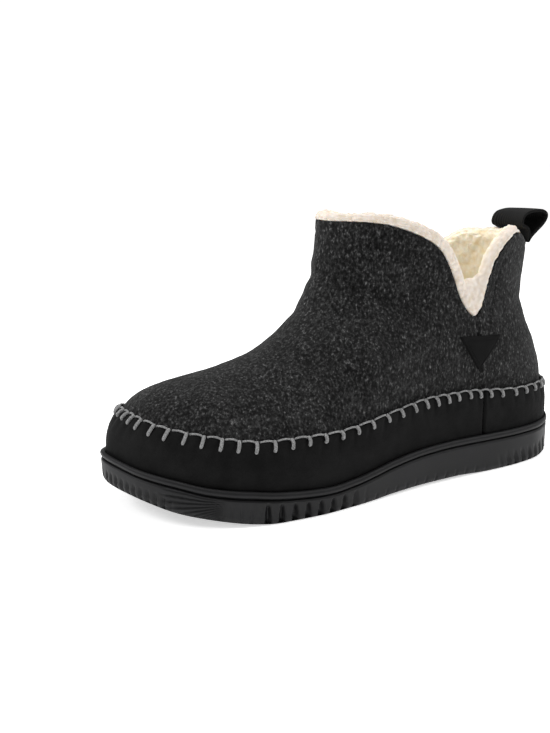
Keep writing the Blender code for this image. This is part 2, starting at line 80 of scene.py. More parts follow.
# %% Helpers for colours and nodes
def hex_colour(code):
    """sRGB hex to the linear colour that nodes expect."""
    parts = [int(code[k:k + 2], 16) / 255 for k in (0, 2, 4)]
    return [c / 12.92 if c <= 0.04045 else ((c + 0.055) / 1.055) ** 2.4 for c in parts] + [1.0]


def set_inputs(node, inputs):
    """Each input gets a value, another node's output or, where a node is given, its first one."""
    for name, value in dict(inputs).items():
        if isinstance(value, bpy.types.Node):
            value = value.outputs[0]
        if isinstance(value, bpy.types.NodeSocket):
            node.id_data.links.new(value, node.inputs[name])
        else:
            node.inputs[name].default_value = value


def add_node(tree, kind, inputs=(), stops=(), **settings):
    """One node with its settings and inputs; stops are the places and colours of a ramp."""
    node = tree.nodes.new(kind)
    for name, value in settings.items():
        setattr(node, name, value)
    for _ in stops[2:]:
        node.color_ramp.elements.new(0.5)
    for k, (at, code) in enumerate(stops):
        node.color_ramp.elements[k].position = at
        node.color_ramp.elements[k].color = hex_colour(code)
    set_inputs(node, inputs)
    return node


def new_material(name):
    """A material with its tree, its shader and the object coordinates in metres."""
    material = bpy.data.materials.new(name)
    material.use_nodes = True
    tree = material.node_tree
    place = add_node(tree, "ShaderNodeTexCoord").outputs["Object"]
    print("material:", name)
    return material, tree, tree.nodes["Principled BSDF"], place


# %% Floor and surroundings
FLOOR_HALF = 60.0
CARD_GLOW = 0.56
ROOM_ON_SHOE = 0.46
ROOM_BEHIND = 1.1

floor_bm = bmesh.new()
bmesh.ops.create_grid(floor_bm, x_segments=2, y_segments=2, size=FLOOR_HALF)
floor_data = bpy.data.meshes.new("floor")
floor_bm.to_mesh(floor_data)
floor_bm.free()
floor = bpy.data.objects.new("floor", floor_data)
scene.collection.objects.link(floor)
card, _, card_shader, _ = new_material("white_card")
set_inputs(card_shader, {"Base Color": hex_colour("FFFFFF"), "Roughness": 0.8,
                         "Emission Color": hex_colour("FFFFFF"), "Emission Strength": CARD_GLOW})
floor_data.materials.append(card)

world = bpy.data.worlds.new("studio")
world.use_nodes = True
# the card behind the shoe is burnt out to white, while the room lights the shoe less
seen = add_node(world.node_tree, "ShaderNodeLightPath").outputs["Is Camera Ray"]
strength = add_node(world.node_tree, "ShaderNodeMapRange",
                    {"Value": seen, "To Min": ROOM_ON_SHOE, "To Max": ROOM_BEHIND})
set_inputs(world.node_tree.nodes["Background"],
           {"Strength": strength, "Color": hex_colour("FFFFFF")})
scene.world = world
scene.view_settings.view_transform = "Standard"


# %% Lights
def soft_box(name, place, aim, size, power):
    light = bpy.data.lights.new(name, "AREA")
    light.shape = "DISK"
    light.size = size
    light.energy = power
    thing = bpy.data.objects.new(name, light)
    scene.collection.objects.link(thing)
    heading = (Vector(aim) - Vector(place)).to_track_quat("-Z", "Y").to_matrix().to_4x4()
    thing.matrix_world = Matrix.Translation(place) @ heading
    print(name, power, "W")


soft_box("toe_box", (-0.4, -1.2, 1.0), (0, -0.05, 0.05), 0.6, 10)
soft_box("heel_box", (0.5, 1.1, 1.1), (0, 0, 0.08), 0.6, 6.2)
soft_box("top_box", (-0.1, 0.0, 1.5), (0, 0, 0.05), 0.8, 14)

# %% [markdown]
# ## The last
# A shoemaker stretches every layer of an upper over one wooden form, the last. It could be sculpted
# once and each layer shrinkwrapped to it. Here it is a function instead, so that every layer fits
# exactly: a place round the shoe and a height give a point, and each layer is that point moved out
# by its own depth. The tables hold the shape as shares of a few sizes.

# %% Sizes of the last
SOLE_LENGTH = 290.0 * MM
SOLE_WIDTH = 114.5 * MM
RIM_HEIGHT = 23.0 * MM
FRONT_HEIGHT = 147.0 * MM
CUP_DEPTH = 8.0 * MM
FELT_INSET = 5.6 * MM
ANKLE_HALF_WIDTH = 36.0 * MM
COLLAR_FLARE = 4.5 * MM
BACK_SAG = 2.5 * MM
GAP = 0.3 * MM
print("sole in mm:", round(SOLE_LENGTH / MM), "front height in mm:", round(FRONT_HEIGHT / MM))

# %% Tables of the sole
# station from heel to toe, outer half width, inner half width
OUTLINE = (
    (0.000, 0.000, 0.000), (0.010, 0.123, 0.123), (0.030, 0.209, 0.209), (0.070, 0.294, 0.289),
    (0.130, 0.355, 0.346), (0.200, 0.384, 0.370), (0.300, 0.398, 0.355), (0.400, 0.417, 0.351),
    (0.500, 0.455, 0.379), (0.600, 0.498, 0.431), (0.680, 0.521, 0.479), (0.750, 0.517, 0.498),
    (0.820, 0.479, 0.488), (0.880, 0.408, 0.450), (0.930, 0.313, 0.389), (0.970, 0.180, 0.284),
    (0.990, 0.057, 0.185), (1.000, -0.076, 0.076),
)
# station, underside and rim of the sole, as shares of the rim height
SOLE_SIDE = (
    (0.00, 0.28, 0.98), (0.05, 0.06, 0.98), (0.10, 0.00, 0.98), (0.25, 0.00, 0.99),
    (0.34, 0.05, 1.00), (0.43, 0.05, 0.96), (0.50, 0.04, 0.87), (0.55, 0.01, 0.765),
    (0.60, 0.00, 0.675), (0.65, 0.00, 0.63), (0.70, 0.00, 0.655), (0.76, 0.00, 0.725),
    (0.80, 0.035, 0.79), (0.84, 0.11, 0.85), (0.88, 0.20, 0.93), (0.92, 0.31, 1.065),
    (0.97, 0.53, 1.22), (1.00, 0.66, 1.38),
)

# %% Tables of the upper
# distance behind the felt toe, height of the instep line
INSTEP = (
    (0.000, 0.230), (0.0166, 0.325), (0.029, 0.352), (0.051, 0.400), (0.114, 0.446),
    (0.203, 0.477), (0.289, 0.528), (0.351, 0.613), (0.389, 0.695), (0.407, 0.771),
    (0.421, 0.870), (0.429, 1.000), (0.470, 1.500), (0.600, 3.500), (1.000, 9.000),
)
# height, how far the heel line is set forward
HEEL_LINE = (
    (0.00, 0.000), (0.16, 0.000), (0.22, 0.000), (0.30, 0.006), (0.37, 0.011), (0.48, 0.032),
    (0.575, 0.053), (0.66, 0.060), (0.79, 0.0565), (0.90, 0.053), (1.10, 0.052),
)
# station, height of the rand's top edge
RAND_TOP = (
    (0.00, 0.297), (0.10, 0.311), (0.17, 0.314), (0.25, 0.328), (0.32, 0.338), (0.40, 0.338),
    (0.50, 0.317), (0.65, 0.281), (0.77, 0.280), (0.86, 0.303), (0.92, 0.327), (0.96, 0.358),
)
# collar from the side: felt edge station and height, pile edge station and height
COLLAR = (
    (0.552, 1.000, 0.550, 1.028), (0.518, 0.998, 0.515, 1.028), (0.483, 0.990, 0.478, 1.023),
    (0.454, 0.973, 0.446, 1.006), (0.408, 0.937, 0.397, 0.970), (0.374, 0.895, 0.359, 0.922),
    (0.352, 0.841, 0.333, 0.862), (0.332, 0.771, 0.314, 0.796), (0.3145, 0.695, 0.2985, 0.744),
    (0.3005, 0.652, 0.287, 0.722), (0.279, 0.617, 0.279, 0.715), (0.260, 0.645, 0.271, 0.722),
    (0.2505, 0.703, 0.263, 0.748), (0.237, 0.779, 0.251, 0.803), (0.223, 0.842, 0.236, 0.868),
    (0.204, 0.885, 0.214, 0.914), (0.178, 0.915, 0.187, 0.943), (0.140, 0.924, 0.145, 0.952),
    (0.100, 0.897, 0.103, 0.930),
)
# how much lower the inner side's collar lies behind the notch: station, share of the front height
INNER_SAG = (
    (0.000, 0.000), (0.085, 0.000), (0.100, 0.012), (0.115, 0.023), (0.130, 0.029), (0.146, 0.036),
    (0.155, 0.043), (0.165, 0.054), (0.175, 0.063), (0.185, 0.066), (0.200, 0.062), (0.220, 0.041),
    (0.240, 0.012), (0.255, 0.000), (1.000, 0.000),
)
# the outer side's: it rises a little behind the notch and falls in a round shoulder by the loop
OUTER_SAG = (
    (0.000, 0.000), (0.074, 0.000), (0.090, 0.012), (0.100, 0.020), (0.112, 0.022), (0.124, 0.016),
    (0.140, -0.002), (0.152, -0.012), (0.165, -0.014), (0.180, -0.010), (0.205, 0.000),
    (1.000, 0.000),
)
# the row of COLLAR at the bottom of the notch, its station, and its share of each half ring
NOTCH_ROW = 10
NOTCH_STATION = 0.262
NOTCH_SHARE = 2 / 3
print("collar rows:", len(COLLAR))


# %% A smooth curve through a table
def smooth(rows, column, at, warp=None):
    """Monotone cubic through one column of a table, against its first column."""
    xs = np.array([row[0] for row in rows], dtype=float)
    ys = np.array([row[column] for row in rows], dtype=float)
    at = np.clip(at, xs[0], xs[-1])
    if warp is not None:
        xs = warp(xs)
        at = warp(at)
    step = np.diff(xs)
    rise_rate = np.diff(ys) / step
    slope = np.zeros(len(xs))
    slope[0] = rise_rate[0]
    slope[-1] = rise_rate[-1]
    same = rise_rate[:-1] * rise_rate[1:] > 0
    total = np.where(same, rise_rate[:-1] + rise_rate[1:], 1.0)
    slope[1:-1] = np.where(same, 2 * rise_rate[:-1] * rise_rate[1:] / total, 0.0)
    k = np.clip(np.searchsorted(xs, at, side="right") - 1, 0, len(step) - 1)
    t = (at - xs[k]) / step[k]
    value = (2 * t ** 3 - 3 * t ** 2 + 1) * ys[k] + (3 * t ** 2 - 2 * t ** 3) * ys[k + 1]
    bend = (t ** 3 - 2 * t ** 2 + t) * slope[k] + (t ** 3 - t ** 2) * slope[k + 1]
    return value + bend * step[k]


def round_ends(share):
    return np.arccos(np.clip(1 - 2 * np.asarray(share, dtype=float), -1, 1))


def ease(value, low, high):
    t = np.clip((value - low) / (high - low), 0, 1)
    return t * t * (3 - 2 * t)


# %% Heights along the sole
def to_y(station):
    return (0.5 - station) * SOLE_LENGTH


def to_station(y):
    return 0.5 - y / SOLE_LENGTH


def rim_height(station):
    return smooth(SOLE_SIDE, 2, station) * RIM_HEIGHT


def under_height(station):
    return smooth(SOLE_SIDE, 1, station) * RIM_HEIGHT


def cup_floor(station):
    return rim_height(station) - CUP_DEPTH


def base_height(station):
    return cup_floor(station) + GAP


def rand_height(station):
    return smooth(RAND_TOP, 1, station) * FRONT_HEIGHT


print("rim in mm at the ball:", round(float(rim_height(0.65)) / MM, 1))


# %% The sole's outline, moved inward by any amount
def outline_point(side, angle):
    """Point of the outline; past either end it goes on along the other side."""
    column = 1 if side > 0 else 2
    over = (angle < 0) | (angle > math.pi)
    inside = np.where(angle < 0, -angle, np.where(angle > math.pi, 2 * math.pi - angle, angle))
    station = (1 - np.cos(inside)) / 2
    here = side * smooth(OUTLINE, column, station, round_ends) * SOLE_WIDTH
    there = -side * smooth(OUTLINE, 3 - column, station, round_ends) * SOLE_WIDTH
    return np.stack([np.where(over, there, here), to_y(station)], axis=-1)


def plan_side(side, station, inset):
    """One side of the outline, moved inward."""
    fine = 1e-4
    angle = round_ends(station)
    along = outline_point(side, angle + fine) - outline_point(side, angle - fine)
    along /= np.linalg.norm(along, axis=-1, keepdims=True)
    inward = np.stack([along[..., 1], -along[..., 0]], axis=-1) * side
    return outline_point(side, angle) + inward * np.reshape(inset, (-1, 1))


def across_sole(u, station, inset):
    """Points from the inner edge, u 0, to the outer one, u 1, and how far apart the edges are."""
    outer = plan_side(1, station, inset)
    inner = plan_side(-1, station, inset)
    flat = outer * u[:, None] + inner * (1 - u)[:, None]
    return flat, np.linalg.norm(outer - inner, axis=1)


DENSE = (1 - np.cos(np.linspace(0, math.pi, 481))) / 2
FELT_PLAN = {side: plan_side(side, DENSE, FELT_INSET) for side in (1, -1)}
TOE_Y = FELT_PLAN[1][:, 1].min()
HEEL_Y = FELT_PLAN[1][:, 1].max()
print("felt in mm from toe to heel:", round((HEEL_Y - TOE_Y) / MM, 1))


# %% The outer face of the upper
def felt_plan(side, y):
    plan = FELT_PLAN[side]
    span = HEEL_Y - TOE_Y
    order = np.argsort(plan[:, 1])
    known = round_ends((plan[order, 1] - TOE_Y) / span)
    return np.interp(round_ends((y - TOE_Y) / span), known, plan[order, 0])


def instep_height(y):
    return smooth(INSTEP, 1, (y - TOE_Y) / SOLE_LENGTH, np.sqrt) * FRONT_HEIGHT


INSTEP_Y = TOE_Y + np.linspace(0, math.sqrt(0.6), 1200) ** 2 * SOLE_LENGTH
INSTEP_Z = instep_height(INSTEP_Y)


def instep_y(z):
    return np.interp(z, INSTEP_Z, INSTEP_Y)


def heel_y(z):
    return HEEL_Y - smooth(HEEL_LINE, 1, z / FRONT_HEIGHT) * SOLE_LENGTH


def ankle_half(z):
    low = ease(z, 0.45 * FRONT_HEIGHT, 0.66 * FRONT_HEIGHT)
    flare = ease(z, 0.66 * FRONT_HEIGHT, 1.05 * FRONT_HEIGHT)
    return ANKLE_HALF_WIDTH * (1.04 - 0.04 * low) + COLLAR_FLARE * flare


def felt_x(side, y, z):
    """Half-sections: a dome over the foot that turns into an oval round the ankle."""
    behind = ease(y, 0.05 * SOLE_LENGTH, HEEL_Y)
    moved = y + (HEEL_Y - heel_y(z)) * behind
    outer = felt_plan(1, moved)
    inner = felt_plan(-1, moved)
    middle = (outer + inner) / 2
    half = (outer - inner) / 2
    wall = rim_height(to_station(y)) + 1.0 * MM
    dome = np.clip((z - wall) / np.maximum(instep_height(y) - wall, 1e-6), 0, 1)
    swell = 1 + 0.035 * np.sin(math.pi * np.clip(dome * 1.6, 0, 1))
    foot = half * swell * np.sqrt(np.maximum(1 - dome ** 2.4, 0))
    front = instep_y(z)
    rear = heel_y(z)
    along = np.clip((2 * y - front - rear) / (rear - front), -1, 1)
    shaft = ankle_half(z) * np.sqrt(np.maximum(1 - np.abs(along) ** 2.25, 0))
    mix = ease(z, 0.47 * FRONT_HEIGHT, 0.74 * FRONT_HEIGHT)
    return middle * (1 - mix) + side * (foot * (1 - mix) + shaft * mix)


print("half width in mm at the collar:", round(float(ankle_half(FRONT_HEIGHT)) / MM, 1))


# %% Lines round the last, seen from the side
def along_path(points, shares):
    steps = np.linalg.norm(np.diff(points, axis=0), axis=1)
    run = np.concatenate([[0], np.cumsum(steps)])
    at = np.asarray(shares) * run[-1]
    return np.stack([np.interp(at, run, points[:, k]) for k in range(points.shape[1])], axis=-1)


def two_part(points, cut, shares):
    """Even spacing before and after the notch, so that one column always runs into it."""
    first = along_path(points[:cut + 1], np.clip(shares / NOTCH_SHARE, 0, 1))
    second = along_path(points[cut:], np.clip((shares - NOTCH_SHARE) / (1 - NOTCH_SHARE), 0, 1))
    return np.where((shares <= NOTCH_SHARE)[:, None], first, second)


def level_line(height, shares):
    fine = (1 - np.cos(np.linspace(0, math.pi, 161))) / 2
    y = TOE_Y + fine * (HEEL_Y - TOE_Y)
    over = height(to_station(y)) - instep_height(y)
    front = max(np.interp(0, over[:60][::-1], y[:60][::-1]), TOE_Y)
    rear = heel_y(height(to_station(HEEL_Y)))
    notch = to_y(NOTCH_STATION)
    y = np.concatenate([np.linspace(front, notch, 81), np.linspace(notch, rear, 41)[1:]])
    return two_part(np.stack([y, height(to_station(y))], axis=-1), 80, shares)


def collar_line(first, shares):
    knots = np.arange(len(COLLAR), dtype=float)
    fine = np.linspace(0, knots[-1], 12 * (len(COLLAR) - 1) + 1)
    table = [(knot,) + row for knot, row in zip(knots, COLLAR)]
    y = to_y(smooth(table, 1 + first, fine))
    z = smooth(table, 2 + first, fine) * FRONT_HEIGHT
    y += (instep_y(z[0]) - y[0]) * (1 - ease(fine, 0, 4))
    y += (heel_y(z[-1]) - y[-1]) * ease(fine, knots[-1] - 3, knots[-1])
    return two_part(np.stack([y, z], axis=-1), 12 * NOTCH_ROW, shares)


def border(line, low, high):
    z = np.linspace(low, high, 120)
    return np.stack([line(z), z], axis=-1)


def blend_rows(bottom, top, front, rear, level, shares):
    """Coons blend of four edges in the side view."""
    a = shares[:, None]
    left = along_path(front, [level])[0]
    right = along_path(rear, [level])[0]
    ends = (1 - a) * left + a * right
    between = (1 - level) * bottom + level * top
    corner_low = (1 - a) * bottom[0] + a * bottom[-1]
    corner_high = (1 - a) * top[0] + a * top[-1]
    return between + ends - (1 - level) * corner_low - level * corner_high


# %% Rings round the last, wrapped from those lines
HALF_COLUMNS = 360
COLUMN_SHARES = np.linspace(0, 1, HALF_COLUMNS + 1)
SHARES = np.linspace(0, 1, 4 * HALF_COLUMNS + 1)


def collar_sag(side, y, z):
    """The two sides differ behind the notch, and the felt dips at the very back."""
    high = ease(z, 0.66 * FRONT_HEIGHT, 0.93 * FRONT_HEIGHT)
    station = to_station(y)
    stations, sags = np.array(INNER_SAG if side < 0 else OUTER_SAG).T
    uneven = np.interp(station, stations, sags) * FRONT_HEIGHT
    back = BACK_SAG * (1 - ease(station, 0.095, 0.135))
    return (uneven + back) * high


def ring(side_view):
    """Closed ring: front, outer side, heel, inner side."""
    cut = int(round(NOTCH_SHARE * (len(side_view) - 1)))
    y, z = side_view.T
    halves = []
    for side in (1, -1):
        x = felt_x(side, y, z)
        x[0] = felt_x(0, y[:1], z[:1])[0]
        x[-1] = felt_x(0, y[-1:], z[-1:])[0]
        points = np.stack([x, y, z - collar_sag(side, y, z)], axis=-1)
        halves.append(two_part(points, cut, COLUMN_SHARES))
    return np.concatenate([halves[0], halves[1][-2:0:-1]])


# %% Tabulate the last once
RAND_STEPS = 18
SHAFT_STEPS = 60
BASE_LINE = level_line(base_height, SHARES)
RAND_LINE = level_line(rand_height, SHARES)
FELT_LINE = collar_line(0, SHARES)
LAST = []
for low_line, high_line, steps, rows in (
    (BASE_LINE, RAND_LINE, RAND_STEPS, RAND_STEPS),
    (RAND_LINE, FELT_LINE, SHAFT_STEPS, SHAFT_STEPS + 1),
):
    front_edge = border(instep_y, low_line[0][1], high_line[0][1])
    back_edge = border(heel_y, low_line[-1][1], high_line[-1][1])
    for k in range(rows):
        flat_row = blend_rows(low_line, high_line, front_edge, back_edge, k / steps, SHARES)
        LAST.append(ring(flat_row))
LAST = np.array(LAST)
PILE_EDGE = ring(collar_line(2, SHARES))
around = np.roll(LAST, -1, axis=1) - np.roll(LAST, 1, axis=1)
NORMALS = np.cross(around, np.gradient(LAST, axis=0))
NORMALS /= np.linalg.norm(NORMALS, axis=2, keepdims=True)
TOP_RING = RAND_STEPS + SHAFT_STEPS
COLUMNS = 2 * HALF_COLUMNS
print("last:", LAST.shape)


# %% A place on the last
def on_last(u, v, lift):
    """u goes once round from the toe, v is 0 at the sole, 1 at the rand's edge, 2 at the collar's
    felt edge and 3 at the edge of the pile; lift is the distance out of the felt's face."""
    u = np.asarray(u, dtype=float) % 1.0 * COLUMNS
    v = np.asarray(v, dtype=float)
    row = np.where(v < 1, v * RAND_STEPS, RAND_STEPS + (np.minimum(v, 2) - 1) * SHAFT_STEPS)
    row = np.clip(row, 0, TOP_RING)
    i = np.floor(u).astype(int) % COLUMNS
    n = (i + 1) % COLUMNS
    j = np.minimum(np.floor(row).astype(int), TOP_RING - 1)
    a = (u - np.floor(u))[:, None]
    b = (row - j)[:, None]

    def mixed(grid):
        low = grid[j, i] * (1 - a) + grid[j, n] * a
        high = grid[j + 1, i] * (1 - a) + grid[j + 1, n] * a
        return low * (1 - b) + high * b

    past = np.clip(v - 2, 0, 1.6)[:, None]
    rim = PILE_EDGE - LAST[TOP_RING]
    beyond = rim[i] * (1 - a) + rim[n] * a
    normal = mixed(NORMALS)
    normal /= np.linalg.norm(normal, axis=1, keepdims=True)
    return mixed(LAST) + beyond * past + normal * np.reshape(lift, (-1, 1)), normal


# %% [markdown]
# ## Cloth cut from a grid
# Every sheet of this shoe starts flat, as felt and suede do, and is pulled over the last. In
# Blender that is a grid primitive whose points are placed by a rule of their two grid coordinates.
# The grid keeps its quads, so it bends smoothly and takes a fine relief well.

# %% Helpers for sheets
def pulled_over(columns, rows, rule, closed=False):
    """A grid with each point placed by rule(u, v); closed welds the first and last column."""
    bm = bmesh.new()
    bmesh.ops.create_grid(bm, x_segments=columns, y_segments=rows, size=0.5)
    bm.verts.ensure_lookup_table()
    flat = np.array([vert.co[:2] for vert in bm.verts]) + 0.5
    across = bm.verts.layers.float.new("across")
    for vert, share in zip(bm.verts, flat[:, 1]):
        vert[across] = share
    if closed:
        flat[:, 0] = np.where(flat[:, 0] > 1 - 1e-5, 0.0, flat[:, 0])
    for vert, point in zip(bm.verts, rule(flat[:, 0], flat[:, 1])):
        vert.co = point
    if closed:
        bmesh.ops.remove_doubles(bm, verts=bm.verts, dist=1e-7)
    return bm


def show(name, bm, material, slot_name, *nodes, facing=None):
    """Make the object, let it ride on the shoe and hide the solids it stands for. A sheet that
    lies level says whether it faces up, 1, or down, -1."""
    if facing is None:
        bmesh.ops.recalc_face_normals(bm, faces=bm.faces)
    for face in bm.faces:
        face.smooth = True
    data = bpy.data.meshes.new(name)
    bm.to_mesh(data)
    bm.free()
    if facing and data.polygons[0].normal.z * facing < 0:
        data.flip_normals()
    data.materials.append(material)
    thing = bpy.data.objects.new(name, data)
    scene.collection.objects.link(thing)
    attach(thing, "root")
    if nodes:
        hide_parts(*nodes)
    print(name, len(data.polygons), "faces")
    return thing


def give_wall(piece, thickness):
    """A wall behind the sheet's face."""
    wall = piece.modifiers.new("wall", "SOLIDIFY")
    wall.thickness = thickness
    wall.offset = -1


# %% Helpers for relief
def rough(points, size, seed, octaves=2):
    """Noise from -1 to 1 at each point, with bumps about size across."""
    shift = Vector((seed * 7.3, seed * 3.1, seed * 5.7))
    return np.array([noise.fractal(Vector(p) / size + shift, 1.0, 2.0, octaves) for p in points])


def clumps(points, size, seed):
    """Rounded lumps about size across, 1 on top and 0 between them."""
    shift = Vector((seed * 4.1, seed * 2.9, seed * 6.3))
    near = [noise.voronoi(Vector(p) / size + shift)[0][0] for p in points]
    return 1 - np.clip(np.array(near) / 0.75, 0, 1) ** 1.6


def profile(table, w):
    """Rows of (share, value, value...) read at w."""
    shares = [row[0] for row in table]
    return [np.interp(w, shares, [row[k] for row in table]) for k in range(1, len(table[0]))]


def near_line(points, line):
    """Distance from each point to a polyline, both in the side view."""
    best = np.full(len(points), 9.0)
    for start, stop in zip(line[:-1], line[1:]):
        run = stop - start
        t = np.clip(((points - start) @ run) / max(run @ run, 1e-12), 0, 1)
        best = np.minimum(best, np.linalg.norm(points - start - t[:, None] * run, axis=1))
    return best


# %% [markdown]
# ## Boiled wool felt
# Boiled wool felt is a mat of short dyed and undyed fibres: charcoal with lighter and darker flecks
# a millimetre or two long, quite matt, with a faint glow at grazing angles from the fibre ends. The
# flecks could be real hairs, but an export loses those. Here they are noise, stretched three ways.

# %% Felt
# turn of each lay of fibres in degrees, and its seed
FIBRE_LAYS = (((20, 10, 35), 0.0), ((-50, 65, 10), 3.3), ((85, -30, 80), 7.1))
# width and length, drawn coarser than the real 0.03 mm so that they show
FIBRE_SIZE = (1.3 * MM, 1.3 * MM, 2.4 * MM)


def boiled_wool_felt():
    material, tree, shader, place = new_material("boiled_wool_felt")
    # clouds of lighter and darker wool, about 14 mm across
    cloud = add_node(tree, "ShaderNodeTexNoise",
                     {"Vector": place, "Scale": 1 / (14 * MM), "Detail": 3.0})
    ground = add_node(tree, "ShaderNodeValToRGB", {"Fac": cloud},
                      ((0.35, "0C0C0C"), (0.50, "111111"), (0.68, "1B1B1B")))
    fibres = None
    for turn_deg, seed in FIBRE_LAYS:
        lay = add_node(tree, "ShaderNodeMapping",
                       {"Vector": place, "Scale": [1 / size for size in FIBRE_SIZE],
                        "Rotation": [math.radians(angle) for angle in turn_deg]})
        fibre = add_node(tree, "ShaderNodeTexNoise",
                         {"Vector": lay, "Scale": 1.0, "Detail": 2.0, "W": seed},
                         noise_dimensions="4D")
        if fibres:
            fibre = add_node(tree, "ShaderNodeMath", {0: fibres, 1: fibre}, operation="MAXIMUM")
        fibres = fibre
    light = add_node(tree, "ShaderNodeValToRGB", {"Fac": fibres},
                     ((0.50, "000000"), (0.64, "303030"), (0.80, "747474")))
    flecked = add_node(tree, "ShaderNodeMix", {0: 0.85, 6: ground, 7: light},
                       data_type="RGBA", blend_type="SCREEN").outputs[2]
    # painted shade: dark spots about 1.8 mm across, for the shade in pits between the fibres
    pit_shade_noise = add_node(tree, "ShaderNodeTexNoise",
                   {"Vector": place, "Scale": 1 / (1.8 * MM), "Detail": 2.0})
    dark = add_node(tree, "ShaderNodeValToRGB", {"Fac": pit_shade_noise}, ((0.38, "383838"), (0.56, "FFFFFF")))
    pit_shaded = add_node(tree, "ShaderNodeMix", {0: 0.8, 6: flecked, 7: dark},
                      data_type="RGBA", blend_type="MULTIPLY").outputs[2]
    fuzz = add_node(tree, "ShaderNodeTexNoise",
                    {"Vector": place, "Scale": 1 / (0.7 * MM), "Detail": 3.0})
    height = add_node(tree, "ShaderNodeMath", {0: fibres, 1: fuzz}, operation="ADD")
    bump = add_node(tree, "ShaderNodeBump",
                    {"Height": height, "Strength": 0.55, "Distance": 0.5 * MM})
    set_inputs(shader, {"Base Color": pit_shaded, "Normal": bump, "Roughness": 0.95,
                        "Specular IOR Level": 0.12, "Sheen Weight": 0.16, "Sheen Roughness": 0.45,
                        "Sheen Tint": hex_colour("A0A0A0")})
    return material


FELT = boiled_wool_felt()

# %% [markdown]
# ## Black suede
# Suede is the fuzzy inner side of a hide: nearly black, matt, and cloudy where the nap lies another
# way. One slow noise gives the clouds and a fine one the grain, in both the colour and the bump.
# Modelled fibres would not show at this size.


# %% Suede
def black_suede(name, base, pale):
    material, tree, shader, place = new_material(name)
    # brushed patches of nap, about 12 mm across
    nap = add_node(tree, "ShaderNodeTexNoise",
                   {"Vector": place, "Scale": 1 / (12 * MM), "Detail": 4.0, "Roughness": 0.6})
    tone = add_node(tree, "ShaderNodeValToRGB", {"Fac": nap}, ((0.32, base), (0.70, pale)))
    # grain of the fuzz, drawn coarser than it is, 0.55 mm, so that it shows
    grain = add_node(tree, "ShaderNodeTexNoise",
                     {"Vector": place, "Scale": 1 / (0.55 * MM), "Detail": 2.0})
    speck = add_node(tree, "ShaderNodeValToRGB", {"Fac": grain},
                     ((0.35, "B0B0B0"), (0.65, "FFFFFF")))
    colour = add_node(tree, "ShaderNodeMix", {0: 0.7, 6: tone, 7: speck},
                      data_type="RGBA", blend_type="MULTIPLY").outputs[2]
    bump = add_node(tree, "ShaderNodeBump",
                    {"Height": grain, "Strength": 0.35, "Distance": 0.25 * MM})
    set_inputs(shader, {"Base Color": colour, "Normal": bump, "Roughness": 0.9,
                        "Specular IOR Level": 0.12, "Sheen Weight": 0.06, "Sheen Roughness": 0.5,
                        "Sheen Tint": hex_colour("6A6A6C")})
    return material


SUEDE = black_suede("black_suede", "080808", "141414")
GUSSET_SUEDE = black_suede("black_suede_gusset", "080808", "101010")

# %% [markdown]
# ## Curly sherpa pile
# The pile is off-white wool in curls that shade warm in the hollows. The lumps themselves are made
# in the mesh, because they catch the light. So the colour only adds a cell pattern of the size of a
# curl, with painted shade at the cell edges, and some light that passes through the wool. The roll
# outside is painted darker than the inside: painted shade on the lit roll, evening it out against
# the shaded inside.


# %% Pile
def curly_pile(name, dims_outer_roll):
    material, tree, shader, place = new_material(name)
    # painted shade: curls about 2.5 mm across, pale in the middle of each cell, darker and warm at
    # its edges for the hollows
    curl = add_node(tree, "ShaderNodeTexVoronoi", {"Vector": place, "Scale": 1 / (2.5 * MM)},
                    feature="SMOOTH_F1")
    tone = add_node(tree, "ShaderNodeValToRGB", {"Fac": curl},
                    ((0.10, "FBF3E2"), (0.55, "F6E9CE"), (0.90, "EBD5A8")))
    # painted shade: the outside of the roll gets a darker ramp than the inside of the shoe
    if dims_outer_roll:
        outer_roll_shade = add_node(tree, "ShaderNodeValToRGB", {"Fac": curl},
                        ((0.10, "D8CFC6"), (0.55, "D0C5B8"), (0.90, "C3B39C")))
        # "across" runs over the roll, from 0 outside to 1 inside the shoe
        across = add_node(tree, "ShaderNodeAttribute", attribute_name="across").outputs["Fac"]
        inside = add_node(tree, "ShaderNodeMapRange",
                          {"Value": across, "From Min": 0.46, "From Max": 0.60})
        tone = add_node(tree, "ShaderNodeMix", {0: inside, 6: outer_roll_shade, 7: tone},
                        data_type="RGBA").outputs[2]
    strand = add_node(tree, "ShaderNodeTexNoise",
                      {"Vector": place, "Scale": 1 / (0.8 * MM), "Detail": 3.0})
    height = add_node(tree, "ShaderNodeMath", {0: strand, 1: curl}, operation="SUBTRACT")
    bump = add_node(tree, "ShaderNodeBump",
                    {"Height": height, "Strength": 0.5, "Distance": 0.6 * MM})
    set_inputs(shader, {"Base Color": tone, "Normal": bump, "Roughness": 0.95,
                        "Specular IOR Level": 0.15, "Sheen Weight": 0.2,
                        "Subsurface Weight": 0.3, "Subsurface Scale": 1.0,
                        "Subsurface Radius": (0.003, 0.002, 0.0012)})
    return material


PILE = curly_pile("curly_sherpa_pile", True)
INSOLE_PILE = curly_pile("curly_sherpa_insole", False)

# %% [markdown]
# ## Moulded rubber
# The sole is moulded rubber with a low satin gloss. Scuffs and mould bloom change its gloss more
# than its colour. One noise moves both a little, and a spark-eroded grain goes in the bump.


